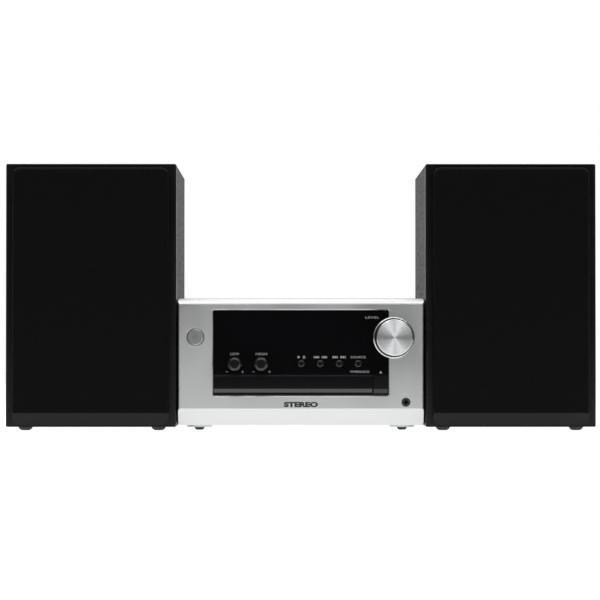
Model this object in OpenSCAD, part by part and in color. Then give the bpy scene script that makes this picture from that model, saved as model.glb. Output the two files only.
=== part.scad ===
// Compact stereo system: a disc-playing main unit between two bookshelf speakers.
// Units are millimetres. +Z is up, the front faces -Y, and the origin is on the
// standing surface, at the middle of the whole set.

/* [Main unit] */
// Width of the main unit
unit_w = 211; // [205:1:220]
// Height of the main unit on its feet
unit_h = 114; // [112:1:120]
// Depth of the main unit from the knob's face to the ends of the rear sockets
unit_d = 267; // [262:1:280]
// Height of the main unit's feet
unit_foot_h = 4.5; // [4:0.25:5]
// Wall thickness of the moulded front panel
panel_t = 2.5; // [2:0.25:2.75]
// Depth of the moulded front panel, front to back
panel_d = 24; // [22:1:26]
// Radius along the front panel's top edge
panel_top_r = 6; // [4:0.5:7]
// Height of the slanted band along the front panel's foot
band_h = 14.5; // [12:0.5:15]
// How far the slanted band runs back
band_d = 8; // [6:0.5:9]

/* [Display window] */
// Width of the window opening in the front panel
window_w = 151.3; // [150:0.1:152]
// Height of the window opening in the front panel
window_h = 73.8; // [73.2:0.1:74]
// Height of the window opening's lower edge above the standing surface
window_z = 29.8; // [29.6:0.1:30.2]
// Depth of the window's face behind the front panel's face
window_recess = 0.8; // [0.5:0.1:1]

/* [Controls] */
// How far the volume knob stands out from the front panel
knob_proud = 21; // [16:1:24]
// Radius of the volume knob
knob_r = 15.5; // [14:0.1:15.6]
// Radius of the bass and treble knobs
tone_knob_r = 5.35; // [5:0.05:6]
// Radius of the four round buttons
button_r = 2.85; // [2.5:0.05:3]
// Radius of the power button
power_r = 6.9; // [6:0.1:7.2]
// Travel of every push button
press = 0.8; // [0.4:0.1:0.8]

/* [Disc drive] */
// Offset of the disc drive's centre line from the main unit's
drive_x = -7; // [-8:0.5:-6]
// Width of the sliding disc tray
tray_w = 128; // [126:0.5:128]
// Length of the sliding disc tray
tray_l = 150; // [149:1:152]
// Clearance of gear teeth in mesh
backlash = 0.16; // [0.1:0.02:0.24]

/* [Speakers] */
// Width of a speaker
speaker_w = 146.5; // [144:0.5:150]
// Height of a speaker on its feet
speaker_h = 229.2; // [225:0.5:235]
// Depth of a speaker's cabinet with its baffle
speaker_d = 200; // [190:1:210]
// Gap between the main unit and each speaker
speaker_gap = 1.6; // [1.5:0.1:20]
// Height of the speakers' feet
speaker_foot_h = 3.2; // [2.8:0.1:4]
// Thickness of the cabinet's wooden walls
wall_t = 9; // [8:0.5:12]
// How far the grille stands out from the baffle
grille_t = 11; // [9:0.5:12]

/* [Hidden] */
$fn = 64;

// Planes of the main unit
socket_proud = 9;
front_y = -unit_d / 2 + knob_proud;
rear_y = unit_d / 2 - socket_proud;
half_w = unit_w / 2;
floor_z = unit_foot_h;
panel_top_z = unit_h - 0.5;
panel_rear_y = front_y + panel_d;
sheet_t = 1;

// Layers behind the front panel's face
face_y = front_y + window_recess;
fascia_y = front_y + 3.8;
fascia_back_y = fascia_y + 2.5;
board_y = front_y + 16;
board_t = 1.6;
switch_h = 3.5;
stem_end_y = board_y - switch_h - 1;

// Window, tray mouth and their edges
window_x = window_w / 2;
window_top_z = window_z + window_h;
window_bevel = 0.8;
fit_gap = 0.25;
flap_x0 = -75.2;
flap_x1 = 61.2;
flap_z0 = 31.6;
flap_z1 = 47.4;
lip_h = 4.1;
lip_d = 2.1;
eject_lip_d = 1.6;
mouth_clear = 5;
acrylic_z = 47.9;
mouth_x = tray_w / 2 + 0.8;
mouth_z0 = 33.9;
mouth_z1 = 46.0;

// Centres of the controls, as [x, z]
volume_at = [79.9, 79.8];
power_at = [-90.7, 80.3];
bass_at = [-57, 57.3];
treble_at = [-34.2, 57.3];
button_z = 57.5;
button_x0 = 0.3;
button_step = 16.3;
power_gap = 0.45;
eject_x0 = 62.5;
eject_x1 = 74.8;
eject_at = [68.6, 40];
eject_boss = 2.5;
phones_at = [90.2, 24.4];
bezel_r = 17.8;
bezel_hole_r = 17.1;
bezel_bore_r = 16.2;
stem_r = 2.9;
stem_clear = 0.1;

// Disc drive
disc_y = front_y + 66.9;
tray_y0 = front_y + 3.4;
tray_y1 = tray_y0 + tray_l;
tray_top_z = 45.2;
tray_under_z = 40.2;
rail_z = 36.4;
rail_w = 4;
frame_floor_z = 27;
frame_floor_t = 2;
frame_x = tray_w / 2 + 3.5;
frame_y0 = front_y + 7;
frame_y1 = front_y + 168;
bridge_z = 48;
bridge_t = 2.5;
rack_module = 1;
pinion_teeth = 14;
pinion_r = rack_module * pinion_teeth / 2;
wheel_module = 0.6;
wheel_teeth = 40;
wheel_r = wheel_module * wheel_teeth / 2;
motor_teeth = 12;
motor_pinion_r = wheel_module * motor_teeth / 2;
gear_at = [40, front_y + 19.2];
motor_at = [gear_at[0], gear_at[1] + wheel_r + motor_pinion_r];
gear_z = 30;
gear_t = 2.5;
hinge_y = disc_y + 76;
hinge_z = 31;
sled_rail_x = 12.5;
sled_rail_z = 31.5;
rod_r = 1.5;
run_gap = 0.06;
addendum = 0.75;
dedendum = 1.05;

// Rear of the main unit
lever_x0 = 22;
lever_step = 11;
lever_hinge_z = 40;
lever_hinge_y = rear_y - 3.5;
terminal_end = 7;
terminal_half = lever_step / 2 - 0.02;
inlet_at = [82, 28];
aux_x = [-40, -26];
antenna_x = -64;
socket_z = 25;

// Speakers
speaker_x = half_w + speaker_gap + speaker_w / 2;
speaker_rear_y = front_y + speaker_d;
half_s = speaker_w / 2;
baffle_t = 12;
grille_w = 134;
grille_z0 = 5;
grille_z1 = 225.8;
grille_band_h = 10.9;
grille_band_d = 7.8;
cloth_t = 0.8;
woofer_z = 92;
tweeter_z = 178;
peg_x = 56;
peg_z = [22, 212];
peg_r = 3.7;
port_z = 176;
gland_z = 40;

// ---------------------------------------------------------------- shared shapes

// Box between two opposite corners
module block(a, b) translate(a) cube(b - a);

// Points of an arc about c, from angle a0 to a1 in n steps
function arc(c, r, a0, a1, n = 6) = [
    for (i = [0:n]) let (a = a0 + (a1 - a0) * i / n) c + r * [cos(a), sin(a)]
];

// Outline of a rectangle with round corners
function rounded(x0, z0, x1, z1, r) = concat(
    arc([x1 - r, z0 + r], r, -90, 0),
    arc([x1 - r, z1 - r], r, 0, 90),
    arc([x0 + r, z1 - r], r, 90, 180),
    arc([x0 + r, z0 + r], r, 180, 270)
);

// Outline given in X and Z, drawn out along Y from y0 to y1
module along_y(y0, y1) translate([0, y1, 0]) rotate([90, 0, 0]) linear_extrude(y1 - y0) children();

// Outline given in Y and Z, drawn out along X from x0 to x1
module along_x(x0, x1) translate([x0, 0, 0]) rotate([90, 0, 90]) linear_extrude(x1 - x0) children();

// Slab with round corners, seen from the front
module slab(x0, x1, y0, y1, z0, z1, r) along_y(y0, y1) polygon(rounded(x0, z0, x1, z1, r));

// Cylinder along Y, centred on at = [x, z]
module rod_y(at, r, y0, y1)
    translate([at[0], y0, at[1]]) rotate([-90, 0, 0]) cylinder(r = r, h = y1 - y0);

// Body of revolution about a line along Y; the profile is [radius, y]
module turned_y(at, profile)
    translate([at[0], 0, at[1]]) rotate([-90, 0, 0]) rotate_extrude() polygon(profile);

// Upright cylinder, centred on at = [x, y]
module post(at, r, z0, z1) translate([at[0], at[1], z0]) cylinder(r = r, h = z1 - z0);

// Body of revolution about an upright line; the profile is [radius, z]
module turned_z(at, profile) translate([at[0], at[1], 0]) rotate_extrude() polygon(profile);

// Outline of an involute gear
pressure = 20;
function unwind(r, rb) = let (t = sqrt(max(0, r * r / rb / rb - 1))) t * 180 / PI - atan(t);
function gear_outline(teeth, m, turn = 0) = let (
    rp = m * teeth / 2,
    rb = rp * cos(pressure),
    tip = rp + addendum * m,
    root = rp - dedendum * m,
    half = 90 / teeth - backlash / 2 / rp * 180 / PI / 2,
    radii = [for (i = [0:3]) max(rb, root) + (tip - max(rb, root)) * i / 3],
    lean = [for (r = radii) half + unwind(rp, rb) - unwind(r, rb)]
) [for (k = [0:teeth - 1]) let (a = turn + 360 * k / teeth) each concat(
    [root * [cos(a - lean[0]), sin(a - lean[0])]],
    [for (i = [0:3]) radii[i] * [cos(a - lean[i]), sin(a - lean[i])]],
    [for (i = [3:-1:0]) radii[i] * [cos(a + lean[i]), sin(a + lean[i])]],
    [root * [cos(a + lean[0]), sin(a + lean[0])]]
)];

// Outline of a rack whose teeth point to -X, with a tooth gap at y = gap_y
function rack_outline(x, gap_y, y_end, m, back) = let (
    pitch = PI * m,
    count = floor((y_end - gap_y) / pitch),
    half = pitch / 4 - backlash / 4,
    slope = tan(pressure)
) concat(
    [[back, gap_y], [x + dedendum * m, gap_y]],
    [for (k = [0:count - 1]) let (y = gap_y + pitch * (k + 0.5)) each [
        [x + dedendum * m, y - half - dedendum * m * slope],
        [x - addendum * m, y - half + addendum * m * slope],
        [x - addendum * m, y + half - addendum * m * slope],
        [x + dedendum * m, y + half + dedendum * m * slope]
    ]],
    [[x + dedendum * m, gap_y + pitch * count], [back, gap_y + pitch * count]]
);

// ---------------------------------------------------------------- case of the main unit

function foot_spots() = [for (x = [-88, 88], y = [front_y + 34, rear_y - 28]) [x, y]];
function board_posts() = [for (x = [-88, 88], y = [front_y + 30, rear_y - 18]) [x, y]];
function button_spots() = [for (i = [0:3]) [button_x0 + button_step * i, button_z]];
function rear_screws() = concat([[0, 104]], [for (x = [-96, 96], z = [14, 104]) [x, z]]);

// Folded steel base and rear wall
module chassis() color("silver") difference() {
    union() {
        block([-half_w + 1.2, panel_rear_y + 0.2, floor_z], [half_w - 1.2, rear_y, floor_z + sheet_t]);
        block([-half_w + 1.2, rear_y - sheet_t, floor_z], [half_w - 1.2, rear_y, unit_h - 1.2]);
        for (s = [-1, 1])
            block(
                [s > 0 ? half_w - 2.2 : -half_w + 1.2, panel_rear_y + 0.2, floor_z],
                [s > 0 ? half_w - 1.2 : -half_w + 2.2, rear_y, floor_z + 13]
            );
        block([-90, panel_rear_y + 0.2, floor_z], [90, panel_rear_y + 2.2, floor_z + 3.2]);
        block([-90, front_y + 13, floor_z + 2.2], [90, panel_rear_y + 2.2, floor_z + 3.2]);
        for (p = foot_spots()) post(p, 11, floor_z - 1.9, floor_z + 0.5);
        for (p = board_posts()) post(p, 3, floor_z, 9);
    }
    for (x = aux_x) rod_y([x, socket_z], 6.2, rear_y - 3, rear_y + 1);
    rod_y([antenna_x, socket_z], 7.2, rear_y - 3, rear_y + 1);
    slab(
        inlet_at[0] - 12.2, inlet_at[0] + 12.2, rear_y - 3, rear_y + 1,
        inlet_at[1] - 8.2, inlet_at[1] + 8.2, 1.5
    );
    block([lever_x0 - 7.2, rear_y - 3, 15.8], [lever_x0 + 3 * lever_step + 7.2, rear_y + 1, 44.2]);
    for (i = [0:13], z = [62, 78])
        slab(-84 + 9 * i, -80 + 9 * i, rear_y - 3, rear_y + 1, z, z + 12, 1.9);
    for (at = rear_screws()) rod_y(at, 1.6, rear_y - 3, rear_y + 1);
}

// Folded steel cover over the top and both sides
module top_cover() color("silver") difference() {
    along_y(panel_rear_y + 0.2, rear_y) polygon(concat(
        [[half_w - sheet_t, 6.2], [half_w, 6.2]],
        arc([half_w - 3, unit_h - 3], 3, 0, 90),
        arc([-half_w + 3, unit_h - 3], 3, 90, 180),
        [[-half_w, 6.2], [-half_w + sheet_t, 6.2]],
        arc([-half_w + 3, unit_h - 3], 2, 180, 90),
        arc([half_w - 3, unit_h - 3], 2, 90, 0)
    ));
    for (i = [0:17])
        along_x(-half_w - 1, half_w + 1) polygon(rounded(-62 + 6 * i, 70, -59.4 + 6 * i, 90, 1.25));
    for (i = [0:15])
        translate([0, 0, unit_h - 3]) linear_extrude(5)
            polygon(rounded(-61.5 + 8 * i, 40, -58.5 + 8 * i, 92, 1.45));
}

// Outer side profile of the front panel, in Y and Z
function panel_profile() = concat(
    [[panel_rear_y, floor_z], [front_y + band_d + 1, floor_z]],
    [[front_y + band_d - 0.4, floor_z + 0.5], [front_y, floor_z + band_h]],
    arc([front_y + panel_top_r, panel_top_z - panel_top_r], panel_top_r, 180, 90, 12),
    [[panel_rear_y, panel_top_z]]
);

// Hollow behind the front panel, in Y and Z
function panel_hollow() = concat(
    [[panel_rear_y + 1, floor_z + 2], [front_y + band_d + 2.4, floor_z + 2]],
    [[front_y + panel_t, floor_z + band_h + 1]],
    arc([front_y + panel_top_r, panel_top_z - panel_top_r], panel_top_r - panel_t, 180, 90, 8),
    [[panel_rear_y + 1, panel_top_z - panel_t]]
);

// Moulded front panel: flat face, round top edge and slanted band along its foot
module front_panel() color("gainsboro") difference() {
    intersection() {
        along_x(-half_w, half_w) polygon(panel_profile());
        slab(-half_w, half_w, front_y - 1, panel_rear_y, floor_z, panel_top_z, 2);
        translate([0, 0, floor_z]) linear_extrude(unit_h) polygon(concat(
            [[half_w, panel_rear_y], [-half_w, panel_rear_y]],
            arc([-half_w + 1.5, front_y + 1.5], 1.5, 180, 270),
            arc([half_w - 1.5, front_y + 1.5], 1.5, 270, 360)
        ));
    }
    along_x(-half_w + panel_t, half_w - panel_t) polygon(panel_hollow());
    slab(-window_x, window_x, front_y - 1, front_y + 5, window_z, window_top_z, 1.2);
    hull() {
        slab(
            -window_x - window_bevel, window_x + window_bevel, front_y - 0.01, front_y,
            window_z - window_bevel, window_top_z + window_bevel, 2
        );
        slab(
            -window_x, window_x, front_y + window_bevel - 0.01, front_y + window_bevel,
            window_z, window_top_z, 1.2
        );
    }
    rod_y(volume_at, bezel_hole_r, front_y - 1, front_y + 5);
    turned_y(power_at, [
        [0, front_y - 1], [power_r + 1.3, front_y - 1], [power_r + 1.3, front_y],
        [power_r + power_gap, front_y + 0.7], [power_r + power_gap, front_y + 5], [0, front_y + 5]
    ]);
    turned_y(phones_at, [
        [0, front_y - 1], [3.9, front_y - 1], [3.9, front_y], [3.4, front_y + 0.5], [3.4, front_y + 5],
        [0, front_y + 5]
    ]);
}

// Black moulded frame behind the window, with the tray mouth in it
module fascia_frame() color([0.06, 0.06, 0.06]) difference() {
    union() {
        block([-79, fascia_y, 28], [79, fascia_back_y, 106]);
        difference() {
            block([-79, front_y + panel_t, 28], [79, fascia_y, 106]);
            block(
                [-window_x - 0.3, front_y, window_z - 0.3],
                [window_x + 0.3, front_y + mouth_clear, window_top_z + 0.3]
            );
        }
        block(
            [-window_x + fit_gap, face_y + 0.6, window_z + 0.2],
            [window_x - fit_gap, fascia_y, flap_z0 - 0.3]
        );
    }
    block(
        [drive_x - mouth_x, fascia_y - 1, mouth_z0],
        [drive_x + mouth_x, fascia_back_y + 1, mouth_z1]
    );
    block([-60, fascia_y - 1, 67], [45, fascia_back_y + 1, 97]);
    rod_y(volume_at, bezel_hole_r + 0.2, front_y, fascia_back_y + 1);
    for (at = [bass_at, treble_at]) rod_y(at, 3.3, fascia_y - 1, fascia_back_y + 1);
    for (at = button_spots()) rod_y(at, button_r + 0.2, fascia_y - 1, fascia_back_y + 1);
    block(
        [eject_at[0] - eject_boss - 0.5, fascia_y - 1, eject_at[1] - eject_boss - 0.5],
        [eject_at[0] + eject_boss + 0.5, fascia_back_y + 1, eject_at[1] + eject_boss + 0.5]
    );
}

// Gloss acrylic window over the display, with holes for the knobs and buttons
module display_window() color([0.02, 0.02, 0.02]) difference() {
    slab(
        -window_x + fit_gap, window_x - fit_gap, face_y, fascia_y,
        acrylic_z, window_top_z - fit_gap, 1
    );
    rod_y(volume_at, bezel_hole_r + 0.2, front_y, front_y + mouth_clear);
    for (at = [bass_at, treble_at]) rod_y(at, 3.3, front_y, front_y + mouth_clear);
    for (at = button_spots()) rod_y(at, button_r + 0.2, front_y, front_y + mouth_clear);
}

// Fluorescent display: glass, holder and leads
module display_module() color([0.25, 0.3, 0.3]) union() {
    block([-58, front_y + 7.5, 69], [43, front_y + 10, 95]);
    block([-59.5, front_y + 10, 68], [44.5, board_y, 96]);
}

// Board behind the fascia, with its switches and rotary controls
module control_board() color("darkgreen") difference() {
    union() {
        block([-99, board_y, 51], [99, board_y + board_t, 108]);
        block([62.5, board_y, 16], [99, board_y + board_t, 51]);
        block(
            [volume_at[0] - 6.5, board_y - 7, volume_at[1] - 6.5],
            [volume_at[0] + 6.5, board_y, volume_at[1] + 6.5]
        );
        for (at = [bass_at, treble_at])
            block([at[0] - 5.5, board_y - 6, at[1] - 5.5], [at[0] + 5.5, board_y, at[1] + 5.5]);
        for (at = button_spots()) tact_switch(at);
        tact_switch(eject_at);
        tact_switch(power_at);
    }
    rod_y(volume_at, stem_r + stem_clear, board_y - 8, board_y - 0.5);
    for (at = [bass_at, treble_at]) rod_y(at, stem_r + stem_clear, board_y - 8, board_y - 0.5);
}

module tact_switch(at) {
    block([at[0] - 3, board_y - switch_h + 0.8, at[1] - 3], [at[0] + 3, board_y, at[1] + 3]);
    rod_y(at, 1.7, board_y - switch_h, board_y);
}

// Bright ring and cup around the volume knob
module volume_bezel() color("white") turned_y(volume_at, [
    [bezel_bore_r, front_y - 2.2], [bezel_bore_r + 0.5, front_y - 2.6], [bezel_r - 0.7, front_y - 2.6],
    [bezel_r, front_y - 1.9], [bezel_r, front_y], [bezel_hole_r - 0.1, front_y],
    [bezel_hole_r - 0.1, front_y + 5.6], [3.8, front_y + 5.6], [3.8, front_y + 4.2],
    [bezel_bore_r, front_y + 4.2]
]);

// Headphone socket
module phones_jack() color([0.08, 0.08, 0.08]) difference() {
    union() {
        rod_y(phones_at, 3.3, front_y - 0.4, front_y + 4);
        block(
            [phones_at[0] - 5.5, front_y + 4, phones_at[1] - 5],
            [phones_at[0] + 5.5, board_y, phones_at[1] + 5]
        );
    }
    rod_y(phones_at, 1.8, front_y - 1, front_y + 14.2);
}

// Pads under the main unit
module unit_feet() color([0.1, 0.1, 0.1]) for (p = foot_spots())
    turned_z(p, [[0, 0], [2.8, 0], [3.7, 0.8], [4.8, floor_z - 1.9], [0, floor_z - 1.9]]);

// Screws that close the case, all at the rear
module case_screws() color("dimgray") for (at = rear_screws()) difference() {
    union() {
        turned_y(at, [
            [0, rear_y], [3, rear_y], [2.9, rear_y + 1], [1.8, rear_y + 1.7], [0, rear_y + 1.7]
        ]);
        rod_y(at, 1.5, rear_y - 6, rear_y + 0.1);
    }
    for (a = [0, 90])
        translate([at[0], rear_y + 1.2, at[1]]) rotate([0, a, 0]) cube([3.2, 1.2, 0.6], center = true);
}

// ---------------------------------------------------------------- knobs and buttons

// Turned aluminium volume knob on its stem
module volume_knob() color("white") turned_y(volume_at, [
    [0, front_y - knob_proud], [knob_r - 0.7, front_y - knob_proud],
    [knob_r, front_y - knob_proud + 0.7], [knob_r, front_y + 1], [knob_r - 2, front_y + 1],
    [knob_r - 2, front_y - knob_proud + 3],
    [4.5, front_y - knob_proud + 3], [4.5, front_y + 1.4], [stem_r, front_y + 1.4],
    [stem_r, board_y - 1], [0, board_y - 1]
]);

// Small tone knob with a bevelled rim
module tone_knob(at) color([0.06, 0.06, 0.06]) difference() {
    turned_y(at, [
        [0, face_y - 7], [tone_knob_r - 1.5, face_y - 7], [tone_knob_r, face_y - 5.6],
        [tone_knob_r, face_y - 0.4], [stem_r, face_y - 0.4], [stem_r, board_y - 1], [0, board_y - 1]
    ]);
    block([at[0] - 0.35, face_y - 8, at[1] + 1.6], [at[0] + 0.35, face_y - 6.7, at[1] + 3.8]);
}

// Round push button with a bevelled rim and a collar behind the fascia
module round_button(i) color([0.06, 0.06, 0.06]) turned_y(button_spots()[i], [
    [0, face_y - 0.9], [button_r - 0.8, face_y - 0.9], [button_r, face_y - 0.2],
    [button_r, fascia_back_y + 0.1], [4.2, fascia_back_y + 0.1], [4.2, fascia_back_y + 1.1],
    [1.5, fascia_back_y + 1.1], [1.5, stem_end_y], [0, stem_end_y]
]);

module power_button() color("gainsboro") turned_y(power_at, [
    [0, front_y - 0.3], [power_r - 0.5, front_y - 0.3], [power_r, front_y + 0.2],
    [power_r, front_y + panel_t + 0.1], [power_r + 1.4, front_y + panel_t + 0.1],
    [power_r + 1.4, front_y + panel_t + 1.1], [2, front_y + panel_t + 1.1], [2, stem_end_y],
    [0, stem_end_y]
]);

// Side profile of the tray flap and the eject button: flat face over a slanted lip
function lip_profile(back_y, depth) = [
    [back_y, flap_z0], [face_y + depth, flap_z0], [face_y, flap_z0 + lip_h], [face_y, flap_z1 - 0.3],
    [face_y + 0.3, flap_z1], [back_y, flap_z1]
];

module eject_button() color([0.06, 0.06, 0.06]) union() {
    along_x(eject_x0, eject_x1) polygon(lip_profile(fascia_y - 1.1, eject_lip_d));
    block(
        [eject_at[0] - eject_boss, fascia_y - 1.2, eject_at[1] - eject_boss],
        [eject_at[0] + eject_boss, fascia_back_y + 1, eject_at[1] + eject_boss]
    );
    rod_y(eject_at, 1.5, fascia_back_y, stem_end_y);
}

// ---------------------------------------------------------------- disc drive

module tray_flap() color([0.06, 0.06, 0.06]) union() {
    along_x(flap_x0, flap_x1) polygon(lip_profile(tray_y0, lip_d));
    for (s = [-1, 1])
        block([drive_x + s * 40 - 4, tray_y0 - 0.1, 38], [drive_x + s * 40 + 4, tray_y0 + 4, 39.8]);
}

// Sliding tray: disc recess, rails, rack, and a slot that runs out of its rear edge
module disc_tray() color([0.12, 0.12, 0.12]) union() {
    difference() {
        block(
            [drive_x - tray_w / 2, tray_y0, tray_under_z],
            [drive_x + tray_w / 2, tray_y1, tray_top_z]
        );
        post([drive_x, disc_y], 60.4, tray_top_z - 1.8, tray_top_z + 1);
        post([drive_x, disc_y], 40.4, tray_top_z - 3, tray_top_z + 1);
        post([drive_x, disc_y], 21, tray_under_z - 1, tray_top_z + 1);
        block([drive_x - 21, disc_y, tray_under_z - 1], [drive_x + 21, tray_y1 + 1, tray_top_z + 1]);
        for (s = [-1, 1]) post([drive_x + s * 60.4, disc_y], 9, tray_top_z - 2.6, tray_top_z + 1);
    }
    for (s = [-1, 1])
        block(
            [drive_x + (s > 0 ? tray_w / 2 - rail_w : -tray_w / 2), tray_y0 + 5, rail_z],
            [drive_x + (s > 0 ? tray_w / 2 : -tray_w / 2 + rail_w), tray_y1, tray_under_z]
        );
    translate([0, 0, rail_z + 0.2]) linear_extrude(tray_under_z - rail_z - 0.2) polygon(rack_outline(
        gear_at[0] + pinion_r, gear_at[1] - 3 * PI * rack_module, tray_y1 - 1, rack_module,
        gear_at[0] + pinion_r + 4
    ));
}

// Moulded drive frame: floor, side walls, clamp bridge and gear post
module loader_frame() color("dimgray") difference() {
    union() {
        block(
            [drive_x - frame_x, frame_y0, frame_floor_z],
            [drive_x + frame_x, frame_y1, frame_floor_z + frame_floor_t]
        );
        for (s = [-1, 1])
            block(
                [drive_x + (s > 0 ? frame_x - 2.5 : -frame_x), frame_y0, frame_floor_z],
                [drive_x + (s > 0 ? frame_x : -frame_x + 2.5), frame_y1, bridge_z + bridge_t]
            );
        for (s = [-1, 1])
            block(
                [drive_x + (s > 0 ? frame_x - 6 : -frame_x), frame_y0 + 2, rail_z - 2.2],
                [drive_x + (s > 0 ? frame_x : -frame_x + 6), frame_y1 - 8, rail_z - 0.2]
            );
        block(
            [drive_x - frame_x, disc_y - 16, bridge_z],
            [drive_x + frame_x, disc_y + 16, bridge_z + bridge_t]
        );
        for (s = [-1, 1])
            block(
                [drive_x + s * 40.5 - 2.5, hinge_y - 4, frame_floor_z],
                [drive_x + s * 40.5 + 2.5, hinge_y + 4, hinge_z + 3]
            );
        post(gear_at, 1.5, frame_floor_z, tray_under_z - 0.5);
        post(gear_at, 3, frame_floor_z, gear_z - 0.1);
        for (x = [-frame_x + 6, frame_x - 6]) {
            post([drive_x + x, frame_y0 + 12], 3.5, floor_z + 3.2, frame_floor_z + 0.5);
            post([drive_x + x, frame_y0 + 150], 3.5, 9 + board_t, frame_floor_z + 0.5);
        }
    }
    block(
        [drive_x - 38, disc_y - 28, frame_floor_z - 1],
        [drive_x + 38, hinge_y + 8, frame_floor_z + 4]
    );
    post([drive_x, disc_y], 10.6, bridge_z - 1, bridge_z + bridge_t + 1);
    post(motor_at, 4.5, frame_floor_z - 1, frame_floor_z + 3);
    translate([drive_x - 60, hinge_y, hinge_z]) rotate([0, 90, 0])
        cylinder(r = rod_r + run_gap, h = 120);
}

// Compound gear: the wheel is driven by the motor, and the pinion drives the tray's rack
module tray_gear() color("ivory") difference() {
    union() {
        translate([gear_at[0], gear_at[1], gear_z]) linear_extrude(gear_t)
            polygon(gear_outline(wheel_teeth, wheel_module));
        post(gear_at, 5, gear_z, rail_z + 0.4);
        translate([gear_at[0], gear_at[1], rail_z + 0.3]) linear_extrude(3.2)
            polygon(gear_outline(pinion_teeth, rack_module));
    }
    post(gear_at, 1.5 + run_gap, gear_z - 1, tray_under_z + 1);
}

module motor_pinion() color("ivory") union() {
    translate([motor_at[0], motor_at[1], gear_z]) linear_extrude(gear_t)
        polygon(gear_outline(motor_teeth, wheel_module, 180 / motor_teeth));
    post(motor_at, 1, 20, gear_z + 0.5);
}

module loading_motor() color("silver") difference() {
    union() {
        post(motor_at, 7.7, 14, frame_floor_z);
        post(motor_at, 3, frame_floor_z - 1, frame_floor_z + 1);
    }
    post(motor_at, 1 + run_gap, 19.5, frame_floor_z + 2);
}

// Tilting frame that carries the spindle motor and the pickup's two guide rods
module traverse() color([0.2, 0.2, 0.2]) difference() {
    union() {
        difference() {
            block([drive_x - 34, disc_y - 22, 33], [drive_x + 34, hinge_y + 3, 35]);
            block([drive_x - 16, disc_y + 15.5, 32], [drive_x + 16, hinge_y - 5.5, 36]);
        }
        for (s = [-1, 1]) {
            block([drive_x + s * 25 - 2, disc_y - 22, 29.5], [drive_x + s * 25 + 2, hinge_y + 3, 33.1]);
            translate([drive_x + s * sled_rail_x, disc_y + 13.5, sled_rail_z])
                rotate([-90, 0, 0]) cylinder(r = rod_r, h = hinge_y - disc_y - 18);
        }
        block([drive_x - 16, disc_y + 13, 29.8], [drive_x + 16, disc_y + 15.5, 33.1]);
        block([drive_x - 16, hinge_y - 5.5, 29.8], [drive_x + 16, hinge_y - 3, 33.1]);
        translate([drive_x - 42.5, hinge_y, hinge_z]) rotate([0, 90, 0]) cylinder(r = rod_r, h = 85);
        post([drive_x, disc_y], 12, 29.5, 33.1);
    }
    post([drive_x, disc_y], 1.25 + run_gap, 30, 36);
}

module turntable() color([0.15, 0.15, 0.15]) turned_z([drive_x, disc_y], [
    [0, 30.5], [1.25, 30.5], [1.25, 35.3], [3.5, 35.3], [3.5, 41], [14.5, 43], [14.5, 44.6],
    [7.4, 44.6], [7.2, 45.4], [5, 46.4], [0, 46.4]
]);

// Pickup sled with its lens
module pickup() color([0.3, 0.3, 0.32]) difference() {
    union() {
        block([drive_x - 15.2, disc_y + 17, 28.5], [drive_x + 15.2, disc_y + 35, 36.5]);
        block([drive_x - 9, disc_y + 18, 36.4], [drive_x + 9, disc_y + 34, 38.5]);
        turned_z([drive_x, disc_y + 26], [[0, 38.4], [4, 38.4], [3.6, 39.6], [2.4, 40.1], [0, 40.3]]);
    }
    for (s = [-1, 1])
        translate([drive_x + s * sled_rail_x, disc_y + 16, sled_rail_z])
            rotate([-90, 0, 0]) cylinder(r = rod_r + run_gap, h = 20);
}

// Clamp that hangs in the bridge and presses on the disc from above
module clamp_puck() color([0.15, 0.15, 0.15]) turned_z([drive_x, disc_y], [
    [8.2, 45.9], [14, 45.9], [14, 47.4], [9.9, 47.4], [9.9, 51], [12.4, 51], [12.4, 52.4],
    [0, 52.4], [0, 47.1], [8.2, 47.1]
]);

// ---------------------------------------------------------------- electronics

// Main board with its low components under the disc drive and tall ones behind it
module main_board() color("darkgreen") union() {
    block([-96, front_y + 27, 9], [96, rear_y - 2, 9 + board_t]);
    for (i = [0:2]) block([-30 + 24 * i, -62, 10.5], [-14 + 24 * i, -46, 12.4]);
    for (x = [-88, -80, 72, 80, 88]) post([x, -20], 3.2, 10.5, 22);
    block([66, 20, 10.5], [94, 48, 14]);
    for (i = [0:3]) post([8 + 20 * i, 104], 5, 10.5, 15.4);
}

// Mains power supply on its own raised board
module power_board() color("olivedrab") union() {
    block([-98, 64, 48], [-8, 116, 48 + board_t]);
    for (x = [-94, -12], y = [68, 102]) post([x, y], 3, 10.6, 48.1);
    block([-70, 72, 49.5], [-40, 100, 74]);
    for (i = [0:1]) post([-84, 76 + 22 * i], 8, 49.5, 78);
    for (i = [0:2]) post([-30, 72 + 15 * i], 5, 49.5, 66);
    block([-22, 70, 49.5], [-14, 108, 60]);
}

// Finned heat sink over the power amplifier
module heat_sink() color("darkgray") union() {
    block([20, 70, 10.6], [94, 74, 56]);
    for (i = [0:11]) block([20 + 6.5 * i, 73.9, 10.6], [22 + 6.5 * i, 94, 56]);
}

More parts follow.
